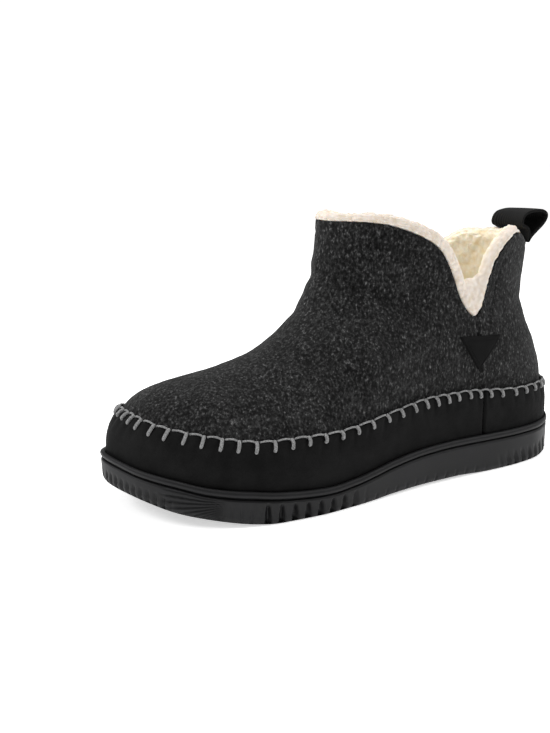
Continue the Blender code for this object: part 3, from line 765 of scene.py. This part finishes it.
# %% Rubber
def moulded_rubber():
    material, tree, shader, place = new_material("moulded_rubber")
    # patches of bloom, about 15 mm across
    bloom = add_node(tree, "ShaderNodeTexNoise",
                     {"Vector": place, "Scale": 1 / (15 * MM), "Detail": 4.0})
    tone = add_node(tree, "ShaderNodeValToRGB", {"Fac": bloom},
                    ((0.35, "0A0A0B"), (0.70, "0F0F11")))
    gloss = add_node(tree, "ShaderNodeMapRange", {"Value": bloom, "To Min": 0.46, "To Max": 0.60})
    grain = add_node(tree, "ShaderNodeTexNoise",
                     {"Vector": place, "Scale": 1 / (0.5 * MM), "Detail": 2.0})
    bump = add_node(tree, "ShaderNodeBump",
                    {"Height": grain, "Strength": 0.15, "Distance": 0.1 * MM})
    set_inputs(shader, {"Base Color": tone, "Normal": bump, "Roughness": gloss,
                        "Specular IOR Level": 0.22})
    return material


RUBBER = moulded_rubber()

# %% [markdown]
# ## Thread and woven tape
# The thread is grey twisted polyester with a little wax, and the strip and the loop are black
# webbing. Both could be woven in geometry, but only the thread's twist and the tape's cross ribs
# show at this size, and a bump gives those.


# %% Sewing thread
def sewing_thread():
    material, tree, shader, place = new_material("waxed_polyester_thread")
    # plies about 0.6 mm across
    twist = add_node(tree, "ShaderNodeTexNoise",
                     {"Vector": place, "Scale": 1 / (0.6 * MM), "Detail": 2.0})
    tone = add_node(tree, "ShaderNodeValToRGB", {"Fac": twist},
                    ((0.35, "5C5C5C"), (0.65, "8C8C8C")))
    bump = add_node(tree, "ShaderNodeBump",
                    {"Height": twist, "Strength": 0.6, "Distance": 0.3 * MM})
    set_inputs(shader, {"Base Color": tone, "Normal": bump, "Roughness": 0.7,
                        "Specular IOR Level": 0.3})
    return material


THREAD = sewing_thread()

# %% Tapes
# ribs of the weave, drawn coarser than the real 0.5 mm so that they show
RIB_SPACING = 1.7765 * MM


def woven_tape(name, dark, pale):
    material, tree, shader, place = new_material(name)
    # a wave texture at scale 1 has a band every pi / 10
    rib = add_node(tree, "ShaderNodeTexWave",
                   {"Vector": place, "Scale": math.pi / 10 / RIB_SPACING, "Distortion": 0.6,
                    "Detail": 1.0, "Detail Scale": 2.0}, bands_direction="X").outputs["Fac"]
    grain = add_node(tree, "ShaderNodeTexNoise",
                     {"Vector": place, "Scale": 1 / (0.6 * MM), "Detail": 2.0})
    both = add_node(tree, "ShaderNodeMath", {0: rib, 1: grain}, operation="MULTIPLY")
    tone = add_node(tree, "ShaderNodeValToRGB", {"Fac": both}, ((0.05, dark), (0.5, pale)))
    bump = add_node(tree, "ShaderNodeBump", {"Height": rib, "Strength": 0.5, "Distance": 0.2 * MM})
    set_inputs(shader, {"Base Color": tone, "Normal": bump, "Roughness": 0.9,
                        "Specular IOR Level": 0.15})
    return material


STRIP_TAPE = woven_tape("black_strip_tape", "0A0A0A", "161617")
LOOP_TAPE = woven_tape("black_loop_tape", "0B0B0B", "222222")

# %% [markdown]
# ## The felt upper
# One heavy sheet, 2.4 mm thick, goes from the sole to the collar. A wall can be made by offsetting
# the face twice; a Solidify modifier does the same and keeps the file short. The relief is in the
# mesh: low waves where the wool shrank unevenly, creases where the ankle bends, a shallow line
# where the collar is top-stitched and another down each side seam.

# %% Creases, each a line in the side view
# side, depth in mm, half width in mm, then station and height along the crease
CREASES = (
    (1, 0.9, 5.0, ((0.575, 0.83), (0.53, 0.76), (0.47, 0.71), (0.41, 0.69))),
    (1, 0.7, 5.5, ((0.60, 0.68), (0.55, 0.62), (0.48, 0.585), (0.40, 0.58))),
    (1, 0.5, 4.5, ((0.10, 0.66), (0.15, 0.63), (0.20, 0.62))),
    (1, 0.5, 6.0, ((0.66, 0.52), (0.60, 0.47), (0.53, 0.44))),
    (-1, 0.9, 5.0, ((0.575, 0.81), (0.52, 0.75), (0.45, 0.72), (0.40, 0.71))),
    (-1, 0.6, 5.5, ((0.60, 0.66), (0.54, 0.60), (0.46, 0.57))),
    (-1, 0.5, 4.5, ((0.10, 0.69), (0.15, 0.66), (0.21, 0.64))),
)
SEAM_LINE = np.array([[to_y(0.277), 0.61 * FRONT_HEIGHT], [to_y(0.270), 0.33 * FRONT_HEIGHT]])
# distance of the stitched line from the collar's edge
COLLAR_STITCH = 6.5 * MM
FELT_WALL = 2.4 * MM
print("creases:", len(CREASES))


# %% Relief of the felt
def crease_depth(points, side_of):
    """Soft trough with a low ridge on either side, summed over the creases."""
    total = np.zeros(len(points))
    flat = points[:, 1:]
    for side, depth, width, line in CREASES:
        path = np.array([[to_y(s), h * FRONT_HEIGHT] for s, h in line])
        d = near_line(flat, path) / (width * MM)
        trough = np.exp(-(d / 0.7) ** 2) - 0.45 * np.exp(-((d - 1.5) / 0.7) ** 2)
        total += np.where(side_of == side, trough * depth * MM, 0)
    return total


def felt_relief(points):
    """How far each point stands out of the last: waves less creases, seams and stitch line."""
    dent = crease_depth(points, np.where(points[:, 0] >= 0, 1, -1))
    seam = near_line(points[:, 1:], SEAM_LINE)
    groove = 1.1 * MM * np.exp(-(seam / (0.9 * MM)) ** 2)
    dent += groove - 0.25 * MM * np.exp(-((seam - 2.6 * MM) / (1.6 * MM)) ** 2)
    edge = near_line(points[:, 1:], FELT_LINE[::6])
    dent += 0.45 * MM * np.exp(-((edge - COLLAR_STITCH) / (1.3 * MM)) ** 2)
    waves = 0.35 * MM * rough(points, 22 * MM, 1) + 0.13 * MM * rough(points, 4 * MM, 2)
    return waves - dent


# %% The felt sheet
def felt_rule(u, w):
    # the first eighth of the rows goes up to just under the rand's edge, which hides it
    v = np.where(w < 0.12, w / 0.12 * 0.8, 0.8 + (w - 0.12) / 0.88 * 1.2)
    points, normals = on_last(u, v, np.zeros(len(u)))
    return points + normals * felt_relief(points)[:, None]


felt_bm = pulled_over(400, 104, felt_rule, closed=True)
give_wall(show("felt_upper", felt_bm, FELT, "upper_felt", "upper"), FELT_WALL)

# %% [markdown]
# ## The pile lining
# The fleece is turned over the felt's raw edge, so it shows as a cream roll all round the collar
# and inside the shoe. It is one sheet with a rolled edge: the profile goes up inside the felt,
# bulges over it and runs down to the insole. Its curls are real lumps in the mesh, because light
# and shadow between them are what the eye reads as fleece.

# %% Rolled profile of the lining
# share of the sheet, v on the last, lift in mm
PILE_PROFILE = (
    (0.00, 1.93, -2.9), (0.06, 2.00, -2.9), (0.09, 2.04, -2.4), (0.13, 2.06, -0.8),
    (0.18, 2.20, 0.2), (0.27, 2.55, 0.5), (0.35, 2.88, 0.0), (0.41, 3.06, -1.1), (0.46, 3.12, -3.0),
    (0.51, 3.06, -5.0), (0.57, 2.85, -6.9), (0.64, 2.45, -8.2), (0.72, 2.00, -8.8),
    (0.80, 1.72, -8.6), (0.88, 1.40, -7.5), (0.95, 1.05, -6.4), (1.00, 0.55, -6.0),
)
# how wide the roll is past the felt, by the share of the way round from the middle of the heel
PILE_WIDTH = (
    (-0.190, 1.00), (-0.175, 1.35), (-0.1667, 1.40), (-0.158, 1.32), (-0.145, 0.95), (-0.115, 0.86),
    (-0.090, 0.95), (-0.078, 0.90), (-0.066, 0.45), (-0.055, -0.05), (-0.030, -0.05),
    (-0.012, 1.00), (0.000, 1.45), (0.050, 1.20), (0.100, 1.00), (0.145, 0.95), (0.158, 1.32),
    (0.1667, 1.40), (0.175, 1.35), (0.190, 1.00),
)


# %% The lining
def pile_rule(u, w):
    v, lift = profile(PILE_PROFILE, w)
    round_heel, widths = np.array(PILE_WIDTH).T
    narrow = np.interp(u - 0.5, round_heel, widths)
    v = np.where(v > 2, 2 + (v - 2) * narrow, v)
    lift = lift - 1.2 * np.clip(1 - narrow, 0, 1) * (lift > -2.5)
    points, normals = on_last(u, v, lift * MM)
    turn_out = np.interp(w, (0, 0.27, 0.46, 0.64, 1), (1, 1, 0, -1, -1))
    outward = normals * turn_out[:, None]
    outward[:, 2] += np.sqrt(np.clip(1 - turn_out ** 2, 0, 1))
    outward /= np.linalg.norm(outward, axis=1, keepdims=True)
    shown = np.interp(w, (0, 0.08, 0.14, 1), (0, 0.1, 1, 1))
    # curls of 2.8 mm on slow waves of 9 mm, with fine ones of 1.6 mm
    curls = 0.75 * (clumps(points, 2.8 * MM, 1) - 0.5)
    lumps = curls + 0.55 * rough(points, 9 * MM, 3) + 0.25 * rough(points, 1.6 * MM, 8)
    return points + outward * (lumps * shown * MM)[:, None]


pile_bm = pulled_over(620, 120, pile_rule, closed=True)
show("pile_lining", pile_bm, PILE, "collar_fleece", "fleece_collar")


# %% [markdown]
# ## The insole
# A foam pad with the same pile on it lies in the cup. It could be a box cut to the outline. A flat
# sheet that fills the outline takes the pile's lumps and a low crown better, and a Solidify
# modifier then makes the foam.

# %% Pile insole
INSOLE_INSET = 8.6 * MM
INSOLE_RISE = 4.6 * MM
INSOLE_CROWN = 0.6 * MM
INSOLE_THICK = 3.8 * MM


def insole_rule(u, w):
    flat, _ = across_sole(u, 0.008 + 0.984 * w, INSOLE_INSET)
    crown = 1 - np.abs(2 * u - 1) ** 4
    z = base_height(to_station(flat[:, 1])) + INSOLE_RISE + INSOLE_CROWN * crown
    points = np.column_stack([flat, z])
    curls = 0.8 * (clumps(points, 3.4 * MM, 2) - 0.5)
    points[:, 2] += MM * (curls + 0.3 * rough(points, 9 * MM, 4))
    return points


insole = show("pile_insole", pulled_over(90, 230, insole_rule), INSOLE_PILE, "insole_fabric",
              "insole", facing=1)
give_wall(insole, INSOLE_THICK)

# %% [markdown]
# ## The suede rand
# A suede band is sewn round the foot, edge up, and its bottom is glued into the cup sole. Two
# pieces meet in an upright seam on either side. The blanket stitch pulls the top edge in at each
# leg, so the edge is slightly scalloped. A flat strip could be bent with a modifier, but a grid
# pulled over the last keeps its edge on the stitch line.

# %% Stitch places along the rand's edge
# distances in mm from one stitch to the next along the outer side, sewn by hand and so uneven; the
# first is from the middle of the toe
OUTER_STITCHES = (
    -2.5, 6.9, 6.3, 6.9, 9.6, 8.9, 9.7, 9.0, 9.3, 8.6, 8.9, 9.4, 9.6, 9.5, 9.6, 10.3, 10.1, 10.3,
    11.3, 10.5, 10.1, 9.0, 8.3, 8.4, 7.6, 9.1, 7.7, 8.2, 9.1, 11.5, 10.0, 10.2, 10.2,
)
INNER_PITCH = 9.2 * MM
EDGE_LIFT = 2.6 * MM
EDGE_COUNT = 4001
ring_u = np.linspace(0, 1, EDGE_COUNT)
edge_points, _ = on_last(ring_u, np.ones(EDGE_COUNT), np.full(EDGE_COUNT, EDGE_LIFT))
edge_run = np.concatenate([[0], np.cumsum(np.linalg.norm(np.diff(edge_points, axis=0), axis=1))])
STITCH_RUN = np.cumsum(OUTER_STITCHES) * MM
left_over = edge_run[-1] + STITCH_RUN[0] - STITCH_RUN[-1]
inner_count = int(round(left_over / INNER_PITCH))
INNER_RUN = STITCH_RUN[-1] + left_over / inner_count * np.arange(1, inner_count)
STITCH_RUN = np.concatenate([STITCH_RUN, INNER_RUN])
STITCHES = len(STITCH_RUN)
print("stitches:", STITCHES, "edge length in mm:", round(edge_run[-1] / MM))


# %% Places along the rand's edge
def along_edge(run):
    """Distance along the rand's edge to u."""
    return np.interp(np.asarray(run) % edge_run[-1], edge_run, ring_u)


def rand_drop(u, down):
    """v of a place a distance down from the rand's edge, or above it if that is negative."""
    base, _ = on_last(u, np.zeros(len(u)), np.zeros(len(u)))
    edge, _ = on_last(u, np.ones(len(u)), np.zeros(len(u)))
    above, _ = on_last(u, np.full(len(u), 1.1), np.zeros(len(u)))
    below = np.linalg.norm(edge - base, axis=1)
    over = np.linalg.norm(above - edge, axis=1) / 0.1
    return 1 - down / np.where(down > 0, below, over)


# %% The two pieces of the band
# share of the sheet, v on the last, lift in mm
RAND_PROFILE = (
    (0.00, 0.02, 0.40), (0.02, 0.02, 2.20), (0.30, 0.36, 2.45), (0.60, 0.68, 2.50),
    (0.80, 0.90, 2.35), (0.87, 0.965, 2.20), (0.91, 0.992, 1.80), (0.94, 1.002, 1.20),
    (0.97, 0.995, 0.60), (1.00, 0.93, 0.35),
)
SEAM_U = NOTCH_SHARE / 2


def rand_rule(first, last):
    """The rule of a piece that goes from u first to u last."""
    def rule(u, w):
        at = first + (last - first) * u
        v, lift = profile(RAND_PROFILE, w)
        run = np.interp(at % 1.0, ring_u, edge_run)
        once, half = edge_run[-1], edge_run[-1] / 2
        gap = np.abs((run[:, None] - STITCH_RUN[None, :] + half) % once - half)
        # each stitch draws the suede 0.75 mm in, over about 1.7 mm, and its edge down a little
        pull = np.exp(-(gap.min(axis=1) / (1.7 * MM)) ** 2)
        lift = lift - 0.75 * pull * ease(v, 0.55, 0.95) * (lift > 0.5)
        v = v - 0.028 * pull * ease(v, 0.85, 1.0)
        # the ends turn in 1.2 mm at the seam
        end = np.minimum(u, 1 - u) * abs(last - first) * once
        lift = lift - 1.2 * np.exp(-(end / (0.8 * MM)) ** 2) * (lift > 0.5)
        points, normals = on_last(at, v, lift * MM)
        relief = 0.22 * rough(points, 16 * MM, 5) + 0.10 * rough(points, 3 * MM, 6)
        return points + normals * (relief * (lift > 0.5) * MM)[:, None]
    return rule


SEAM_GAP_U = 0.00035
front_rule = rand_rule(-SEAM_U + SEAM_GAP_U, SEAM_U - SEAM_GAP_U)
show("rand_front_suede", pulled_over(640, 56, front_rule), SUEDE, "rand_front_suede", "rand_front")
heel_rule = rand_rule(SEAM_U + SEAM_GAP_U, 1 - SEAM_U - SEAM_GAP_U)
show("rand_heel_suede", pulled_over(320, 56, heel_rule), SUEDE, "rand_heel_suede", "rand_heel")

# %% [markdown]
# ## The blanket stitch
# A blanket stitch is a thick thread that lies along the edge and drops a leg at every stitch. A
# bevelled curve is the natural way to make thread. Each leg and each run along the edge is one
# short spline, and the curve is then made a mesh.

# %% Thread, and how its legs lie
LEG_RADIUS = 0.95 * MM
RUN_RADIUS = 0.52 * MM
# place round the shoe, length of the leg in mm, how far its foot lies towards the heel in mm
LEG_LIE = (
    (-0.01, 4.6, -0.8), (0.01, 5.0, -1.0), (0.024, 5.8, -0.7), (0.04, 6.0, 0.1), (0.06, 6.0, 1.1),
    (0.09, 6.1, 1.7), (0.126, 5.8, 2.1), (0.155, 4.9, 1.7), (0.17, 4.6, 1.5), (0.195, 5.2, 2.4),
    (0.22, 5.6, 3.3), (0.25, 6.2, 3.4), (0.275, 6.2, 3.2), (0.295, 5.4, 2.2), (0.32, 4.8, 1.5),
    (0.36, 4.7, 1.4), (0.42, 4.4, 1.2), (0.50, 4.4, 1.0), (0.60, 4.8, 1.4), (0.75, 5.4, 2.0),
    (0.85, 5.6, 2.0), (0.93, 6.0, 0.6), (0.98, 5.0, -0.8), (1.00, 4.6, -0.8),
)
# share of the leg, lift in mm
LEG_SHAPE = (
    (-0.03, 1.9), (0.08, 2.55), (0.25, 2.9), (0.5, 3.0), (0.8, 2.9), (0.93, 2.6), (1.0, 1.9),
)


# %% Helpers for thread
def add_thread(curve, points, radius):
    spline = curve.splines.new("POLY")
    spline.points.add(len(points) - 1)
    for target, point in zip(spline.points, points):
        target.co = (*point, 1)
        target.radius = radius


def smooth_path(points, count):
    """More points along a short path, rounded at its bends."""
    knots = np.linspace(0, 1, len(points))
    table = [(knot, *point) for knot, point in zip(knots, points)]
    at = np.linspace(0, 1, count)
    return np.column_stack([smooth(table, k, at) for k in (1, 2, 3)])


# %% The stitches
thread_curve = bpy.data.curves.new("blanket_stitch", "CURVE")
thread_curve.dimensions = "3D"
thread_curve.bevel_depth = 1.0
thread_curve.bevel_resolution = 2
thread_curve.use_fill_caps = True
shares, lifts = np.array(LEG_SHAPE).T
bow = 0.25 * np.sin(math.pi * np.clip(shares, 0, 1))
for k in range(STITCHES):
    run = STITCH_RUN[k]
    here = float(along_edge(run))
    heelward = 1 if here < 0.5 or here > 0.99 else -1
    length, foot = (float(value) for value in profile(LEG_LIE, here if here < 0.99 else here - 1))
    length *= 1 + 0.06 * noise.noise(Vector((k * 1.7, 0.3, 0)))
    at = along_edge(run + heelward * (foot * shares + bow) * MM)
    down = rand_drop(at, (0.1 + shares * (length - 0.6)) * MM)
    leg, _ = on_last(at, down, (lifts - 0.35) * MM)
    add_thread(thread_curve, smooth_path(leg, 11), LEG_RADIUS)
    # the thread to the next stitch lies over the rand's edge, a little above it in the middle
    after = STITCH_RUN[k + 1] if k + 1 < STITCHES else STITCH_RUN[0] + edge_run[-1]
    share = np.linspace(0.17, 0.97, 9)
    arch = np.sin(math.pi * np.clip(share * 1.08 - 0.1, 0, 1)) ** 0.7
    sink = 0.15 * noise.noise(Vector((k * 2.3, 4.4, 0)))
    at = along_edge(run + share * (after - run))
    down = rand_drop(at, (0.35 - 0.95 * arch) * MM)
    lie, _ = on_last(at, down, (1.15 + 0.85 * arch + sink) * MM)
    add_thread(thread_curve, smooth_path(lie, 12), RUN_RADIUS)

# %% The thread as a mesh
thread_holder = bpy.data.objects.new("thread_holder", thread_curve)
scene.collection.objects.link(thread_holder)
graph = bpy.context.evaluated_depsgraph_get()
thread_data = bpy.data.meshes.new_from_object(thread_holder.evaluated_get(graph))
bpy.data.objects.remove(thread_holder)
thread_bm = bmesh.new()
thread_bm.from_mesh(thread_data)
bmesh.ops.remove_doubles(thread_bm, verts=thread_bm.verts, dist=1e-6)
show("blanket_stitch", thread_bm, THREAD, "rand_front_suede")

# %% [markdown]
# ## Heel strip, gussets and pull loop
# A flat tape covers the seam down the back. Below each notch a small suede triangle stops the seam
# from tearing. The loop is a doubled tape that starts behind the collar; it is bent by sweeping the
# tape's section along a closed path. Strip and triangles are grids on the last, as the rest is.

# %% Heel strip
# share across, lift in mm
STRIP_PROFILE = ((0.00, 0.35), (0.03, 1.2), (0.08, 1.65), (0.92, 1.65), (0.97, 1.2), (1.00, 0.35))
STRIP_WIDTH_U = 0.0270


def strip_rule(u, w):
    lift, = profile(STRIP_PROFILE, u)
    lift = np.where(np.minimum(w, 1 - w) < 0.004, 0.35, lift)
    points, normals = on_last(0.5 + (u - 0.5) * STRIP_WIDTH_U, 1.006 + w * 0.985, lift * MM)
    # a stitched line near each edge
    groove = 0.25 * np.exp(-((np.abs(u - 0.5) * 2 - 0.78) / 0.05) ** 2)
    return points - normals * (groove * MM)[:, None]


strip_bm = pulled_over(40, 160, strip_rule)
show("heel_strip_tape", strip_bm, STRIP_TAPE, "heel_strip_webbing", "heel_strip")


# %% Gussets
# corners: station, height
GUSSET = np.array(((0.326, 0.553), (0.2145, 0.541), (0.277, 0.411)))


def side_places(side, station, height, lift):
    """Points on one side of the upper, by station and height, moved outward."""
    fine = 0.2 * MM
    y = to_y(station)
    z = height * FRONT_HEIGHT
    x = felt_x(side, y, z)
    slope_y = (felt_x(side, y + fine, z) - x) / fine
    slope_z = (felt_x(side, y, z + fine) - x) / fine
    normal = side * np.stack([np.ones(len(x)), -slope_y, -slope_z], axis=-1)
    normal /= np.linalg.norm(normal, axis=1, keepdims=True)
    return np.stack([x, y, z], axis=-1) + normal * np.reshape(lift, (-1, 1))


def gusset_rule(side):
    def rule(u, w):
        # the sheet stops short of the point, so that its last row has a width
        down = 0.97 * w
        left = GUSSET[0] + (GUSSET[2] - GUSSET[0]) * down[:, None]
        right = GUSSET[1] + (GUSSET[2] - GUSSET[1]) * down[:, None]
        flat = left + (right - left) * u[:, None]
        edge = np.minimum(np.minimum(u, 1 - u) * 2 * (1 - down), np.minimum(w, 1 - w)) * 14
        lift = 0.35 + 1.15 * np.clip(edge / 0.8, 0, 1) ** 0.5
        lift -= 0.3 * np.exp(-((edge - 1.7) / 0.4) ** 2)
        return side_places(side, flat[:, 0], flat[:, 1], lift * MM)
    return rule


show("gusset_outer", pulled_over(40, 40, gusset_rule(1)), GUSSET_SUEDE,
     "gusset_lateral_suede", "gusset_lateral")
show("gusset_inner", pulled_over(40, 40, gusset_rule(-1)), GUSSET_SUEDE,
     "gusset_medial_suede", "gusset_medial")

# %% Path and section of the pull loop
# behind its seat as a share of the reach, height
LOOP = (
    (0.00, 0.880), (0.00, 0.908), (-0.06, 0.930), (-0.21, 0.939), (-0.355, 0.948), (-0.40, 0.966),
    (-0.30, 0.990), (-0.09, 1.006), (0.27, 1.0135), (0.665, 1.0135), (0.91, 1.004), (1.00, 0.988),
    (0.935, 0.966), (0.75, 0.944), (0.48, 0.922), (0.225, 0.900), (0.08, 0.883),
)
LOOP_WIDTH = 28.0 * MM
LOOP_THICK = 1.8 * MM
LOOP_REACH = 15.2 * MM
LOOP_BOW = 3.1 * MM
LOOP_SEAT = 2.2 * MM
LOOP_COLUMNS = 96
# corners of the tape's section: share of the width, share of the thickness
TAPE_SECTION = np.array((
    (-0.5, 0.15), (-0.47, 0.0), (0.0, 0.0), (0.47, 0.0), (0.5, 0.15), (0.5, 0.85), (0.47, 1.0),
    (0.0, 1.0), (-0.47, 1.0), (-0.5, 0.85), (-0.5, 0.15),
))


# %% Pull loop
def closed_curve(knots, count):
    """Smooth closed path through the knots."""
    size = len(knots)
    t = np.linspace(0, size, count, endpoint=False)
    k = np.floor(t).astype(int)
    f = (t - k)[:, None]
    a, b, c, d = (knots[(k + shift) % size] for shift in (-1, 0, 1, 2))
    straight = 2 * b + (c - a) * f
    bent = (2 * a - 5 * b + 4 * c - d) * f ** 2 + (3 * b - a - 3 * c + d) * f ** 3
    return 0.5 * (straight + bent)


reach, loop_z = np.array(LOOP).T
loop_z = loop_z * FRONT_HEIGHT
loop_knots = np.column_stack([heel_y(loop_z) + LOOP_SEAT + reach * LOOP_REACH, loop_z])
loop_path = closed_curve(loop_knots, LOOP_COLUMNS)
loop_along = np.roll(loop_path, -1, axis=0) - np.roll(loop_path, 1, axis=0)
loop_along /= np.linalg.norm(loop_along, axis=1, keepdims=True)
loop_inward = np.column_stack([loop_along[:, 1], -loop_along[:, 0]])
loop_inward *= np.sign(np.sum(loop_inward * (loop_path.mean(axis=0) - loop_path)))


def loop_rule(u, w):
    k = np.round(u * LOOP_COLUMNS).astype(int) % LOOP_COLUMNS
    corners = np.arange(len(TAPE_SECTION))
    row = w * corners[-1]
    x = np.interp(row, corners, TAPE_SECTION[:, 0]) * LOOP_WIDTH
    deep = np.interp(row, corners, TAPE_SECTION[:, 1]) * LOOP_THICK
    flat = loop_path[k] + loop_inward[k] * deep[:, None]
    flat[:, 0] -= LOOP_BOW * (2 * x / LOOP_WIDTH) ** 2
    return np.column_stack([x, flat])


loop_bm = pulled_over(LOOP_COLUMNS, 40, loop_rule, closed=True)
bmesh.ops.remove_doubles(loop_bm, verts=loop_bm.verts, dist=1e-6)
show("pull_loop_tape", loop_bm, LOOP_TAPE, "pull_loop_webbing", "pull_loop")

# %% [markdown]
# ## The cup sole
# The outsole is one moulding: a cup with a rounded bead on its rim and a groove below it. Its side
# has upright notches at the ball, finer ones in front of them, a fan of curved lines beside the
# toe, short notches round the toe and leaning ones at the heel. The tread is lugged. A boolean cut
# for each notch would be slow and ragged. So the side is one grid pulled round the outline, fine
# enough to carry them, and the tread is a second grid that joins its lower edge.

# %% Profile of the sole's side
# share of the sheet, inset in mm, 0 for the rim or 1 for the underside, height above it in mm
SOLE_PROFILE = (
    (0.00, 3.0, 0, -7.9), (0.12, 3.0, 0, -0.9), (0.15, 2.7, 0, -0.3), (0.19, 1.9, 0, 0.0),
    (0.24, 1.0, 0, -0.25), (0.29, 0.3, 0, -0.95), (0.34, 0.0, 0, -1.9), (0.39, 0.2, 0, -2.8),
    (0.43, 0.8, 0, -3.4), (0.455, 2.2, 0, -3.65), (0.485, 2.3, 0, -4.15), (0.51, 0.9, 0, -4.45),
    (0.56, 0.35, 0, -5.3), (0.90, 0.75, 1, 2.6), (0.95, 1.4, 1, 0.9), (1.00, 2.4, 1, 0.0),
)
STATIONS = 1401
# distance from one notch to the next at the ball, in front of it, at the heel and round the toe
BALL_PITCH = 7.6 * MM
FINE_PITCH = 5.0 * MM
HEEL_PITCH = 6.6 * MM
TOE_PITCH = 4.6 * MM
# how far the notches lean over the height of the side
HEEL_LEAN = 6.5 * MM
TOE_LEAN = 2.0 * MM
HEEL_TUCK = 1.5 * MM


# %% Places round the sole
def around_sole(u):
    """u once round the sole from the toe: side and station, evenly spaced along the edge."""
    side = np.where(u <= 0.5, 1, -1)
    half = np.where(u <= 0.5, 2 * u, 2 - 2 * u)
    station = np.zeros(len(u))
    for s in (1, -1):
        edge = outline_point(s, np.linspace(math.pi, 0, STATIONS))
        run = np.concatenate([[0], np.cumsum(np.linalg.norm(np.diff(edge, axis=0), axis=1))])
        pick = side == s
        angle = np.interp(half[pick], run / run[-1], np.linspace(math.pi, 0, STATIONS))
        station[pick] = (1 - np.cos(angle)) / 2
    return side, station


def sole_point(side, station, inset):
    outer = plan_side(1, station, inset)
    inner = plan_side(-1, station, inset)
    return np.where((side > 0)[:, None], outer, inner)


# %% Notches and lines in the side
def notch_wave(phase, width):
    """Grooves that stand at whole phases, each as wide as the given share of the pitch."""
    off = np.abs((phase + 0.5) % 1.0 - 0.5)
    return np.clip(1 - off / (width / 2), 0, 1) ** 0.6


def side_relief(station, run, share):
    """Depth of the grooves by station, run along the edge and share of the way down."""
    # upright notches at the ball, wider and deeper towards the ground
    ball = ease(station, 0.565, 0.635) * (1 - ease(station, 0.782, 0.805))
    upright = notch_wave(run / BALL_PITCH, 0.26 + 0.34 * share) * ease(share, 0.0, 0.45)
    # finer and shallower ones between these and the fan
    fine = ease(station, 0.785, 0.81) * (1 - ease(station, 0.84, 0.86))
    close = notch_wave(run / FINE_PITCH, 0.45) * ease(share, 0.05, 0.6)
    # notches at the heel that lean back towards the ground and start higher at the very end
    heel = 1 - ease(station, 0.17, 0.25)
    start = 0.08 + 0.30 * ease(station, 0.02, 0.12)
    lean = (run - HEEL_LEAN * share) / HEEL_PITCH
    leaning = notch_wave(lean, 0.30 + 0.30 * share) * ease(share - start, 0.0, 0.5)
    # faint marks at the waist, near the ground
    waist = ease(station, 0.24, 0.30) * (1 - ease(station, 0.56, 0.62))
    marks = notch_wave(run / BALL_PITCH, 0.30) * ease(share, 0.65, 0.95)
    # curved lines that fan out from the groove beside the toe
    fan_place = np.clip((station - 0.838) / (0.945 - 0.838), 0.02, 1)
    fan = ease(station, 0.845, 0.87) * (1 - ease(station, 0.93, 0.95))
    curved = notch_wave((share - 0.04) / (0.05 + 0.26 * fan_place ** 1.25), 0.42)
    # short notches round the toe
    toe = ease(station, 0.925, 0.945)
    lean = (run + TOE_LEAN * share) / TOE_PITCH
    short = notch_wave(lean, 0.30 + 0.30 * share) * ease(share, 0.30, 0.75)
    cut = 3.0 * ball * upright + 0.8 * fine * close + 1.9 * heel * leaning + 0.7 * waist * marks
    return MM * (cut + 0.9 * fan * curved + 1.6 * toe * short)


# %% Side of the sole
def sole_rule(u, w):
    side, station = around_sole(u)
    run = np.minimum(u, 1 - u) * EDGE_LENGTH
    inset, base, lift = profile(SOLE_PROFILE, w)
    window = ease(w, 0.52, 0.58) * (1 - ease(w, 0.975, 1.0))
    cut = side_relief(station, run, np.clip((w - 0.54) / 0.42, 0, 1)) * window
    tuck = HEEL_TUCK * (1 - ease(station, 0.03, 0.12)) * ease(w, 0.14, 0.30)
    tuck = tuck * (1 - ease(w, 0.90, 1.0))
    flat = sole_point(side, station, inset * MM + cut + tuck)
    at = to_station(flat[:, 1])
    z = rim_height(at) * (1 - base) + under_height(at) * base + lift * MM
    return np.column_stack([flat, z])


half_edge = outline_point(1, np.linspace(math.pi, 0, STATIONS))
EDGE_LENGTH = np.linalg.norm(np.diff(half_edge, axis=0), axis=1).sum() * 2
print("edge of the sole in mm:", round(EDGE_LENGTH / MM))
sole_bm = pulled_over(1300, 66, sole_rule, closed=True)
show("cup_sole_side", sole_bm, RUBBER, "outsole_rubber", "outsole")


# %% Tread
TREAD_PITCH = 8.0 * MM
TREAD_WAVE = 2.2 * MM
TREAD_INSET = 2.4 * MM


def tread_depth(flat, edge):
    """Wavy cross grooves under the heel and the ball, and a plainer waist."""
    station = to_station(flat[:, 1])
    wave = flat[:, 1] + TREAD_WAVE * np.sin(flat[:, 0] / (5.5 * MM))
    # 0 on a lug and 1 in the middle of the groove between two
    lugs = np.clip(0.5 - 0.5 * np.cos(2 * math.pi * (wave / TREAD_PITCH)), 0, 1)
    groove = ease(lugs, 0.55, 0.85)
    zone = (1 - ease(station, 0.26, 0.30)) + ease(station, 0.52, 0.56)
    rim = ease(edge, 3.5 * MM, 4.5 * MM)
    shallow = ease(lugs, 0.75, 0.95) * 0.4
    return MM * rim * (1.8 * groove * zone + shallow * (1 - zone))


def tread_rule(u, w):
    flat, width = across_sole(u, 0.0005 + 0.999 * w, TREAD_INSET)
    edge = np.minimum(u, 1 - u) * width
    edge = np.minimum(edge, np.minimum(w, 1 - w) * SOLE_LENGTH)
    z = under_height(to_station(flat[:, 1])) + tread_depth(flat, edge)
    return np.column_stack([flat, z])


show("cup_sole_tread", pulled_over(150, 420, tread_rule), RUBBER, "outsole_rubber", "outsole",
     facing=-1)
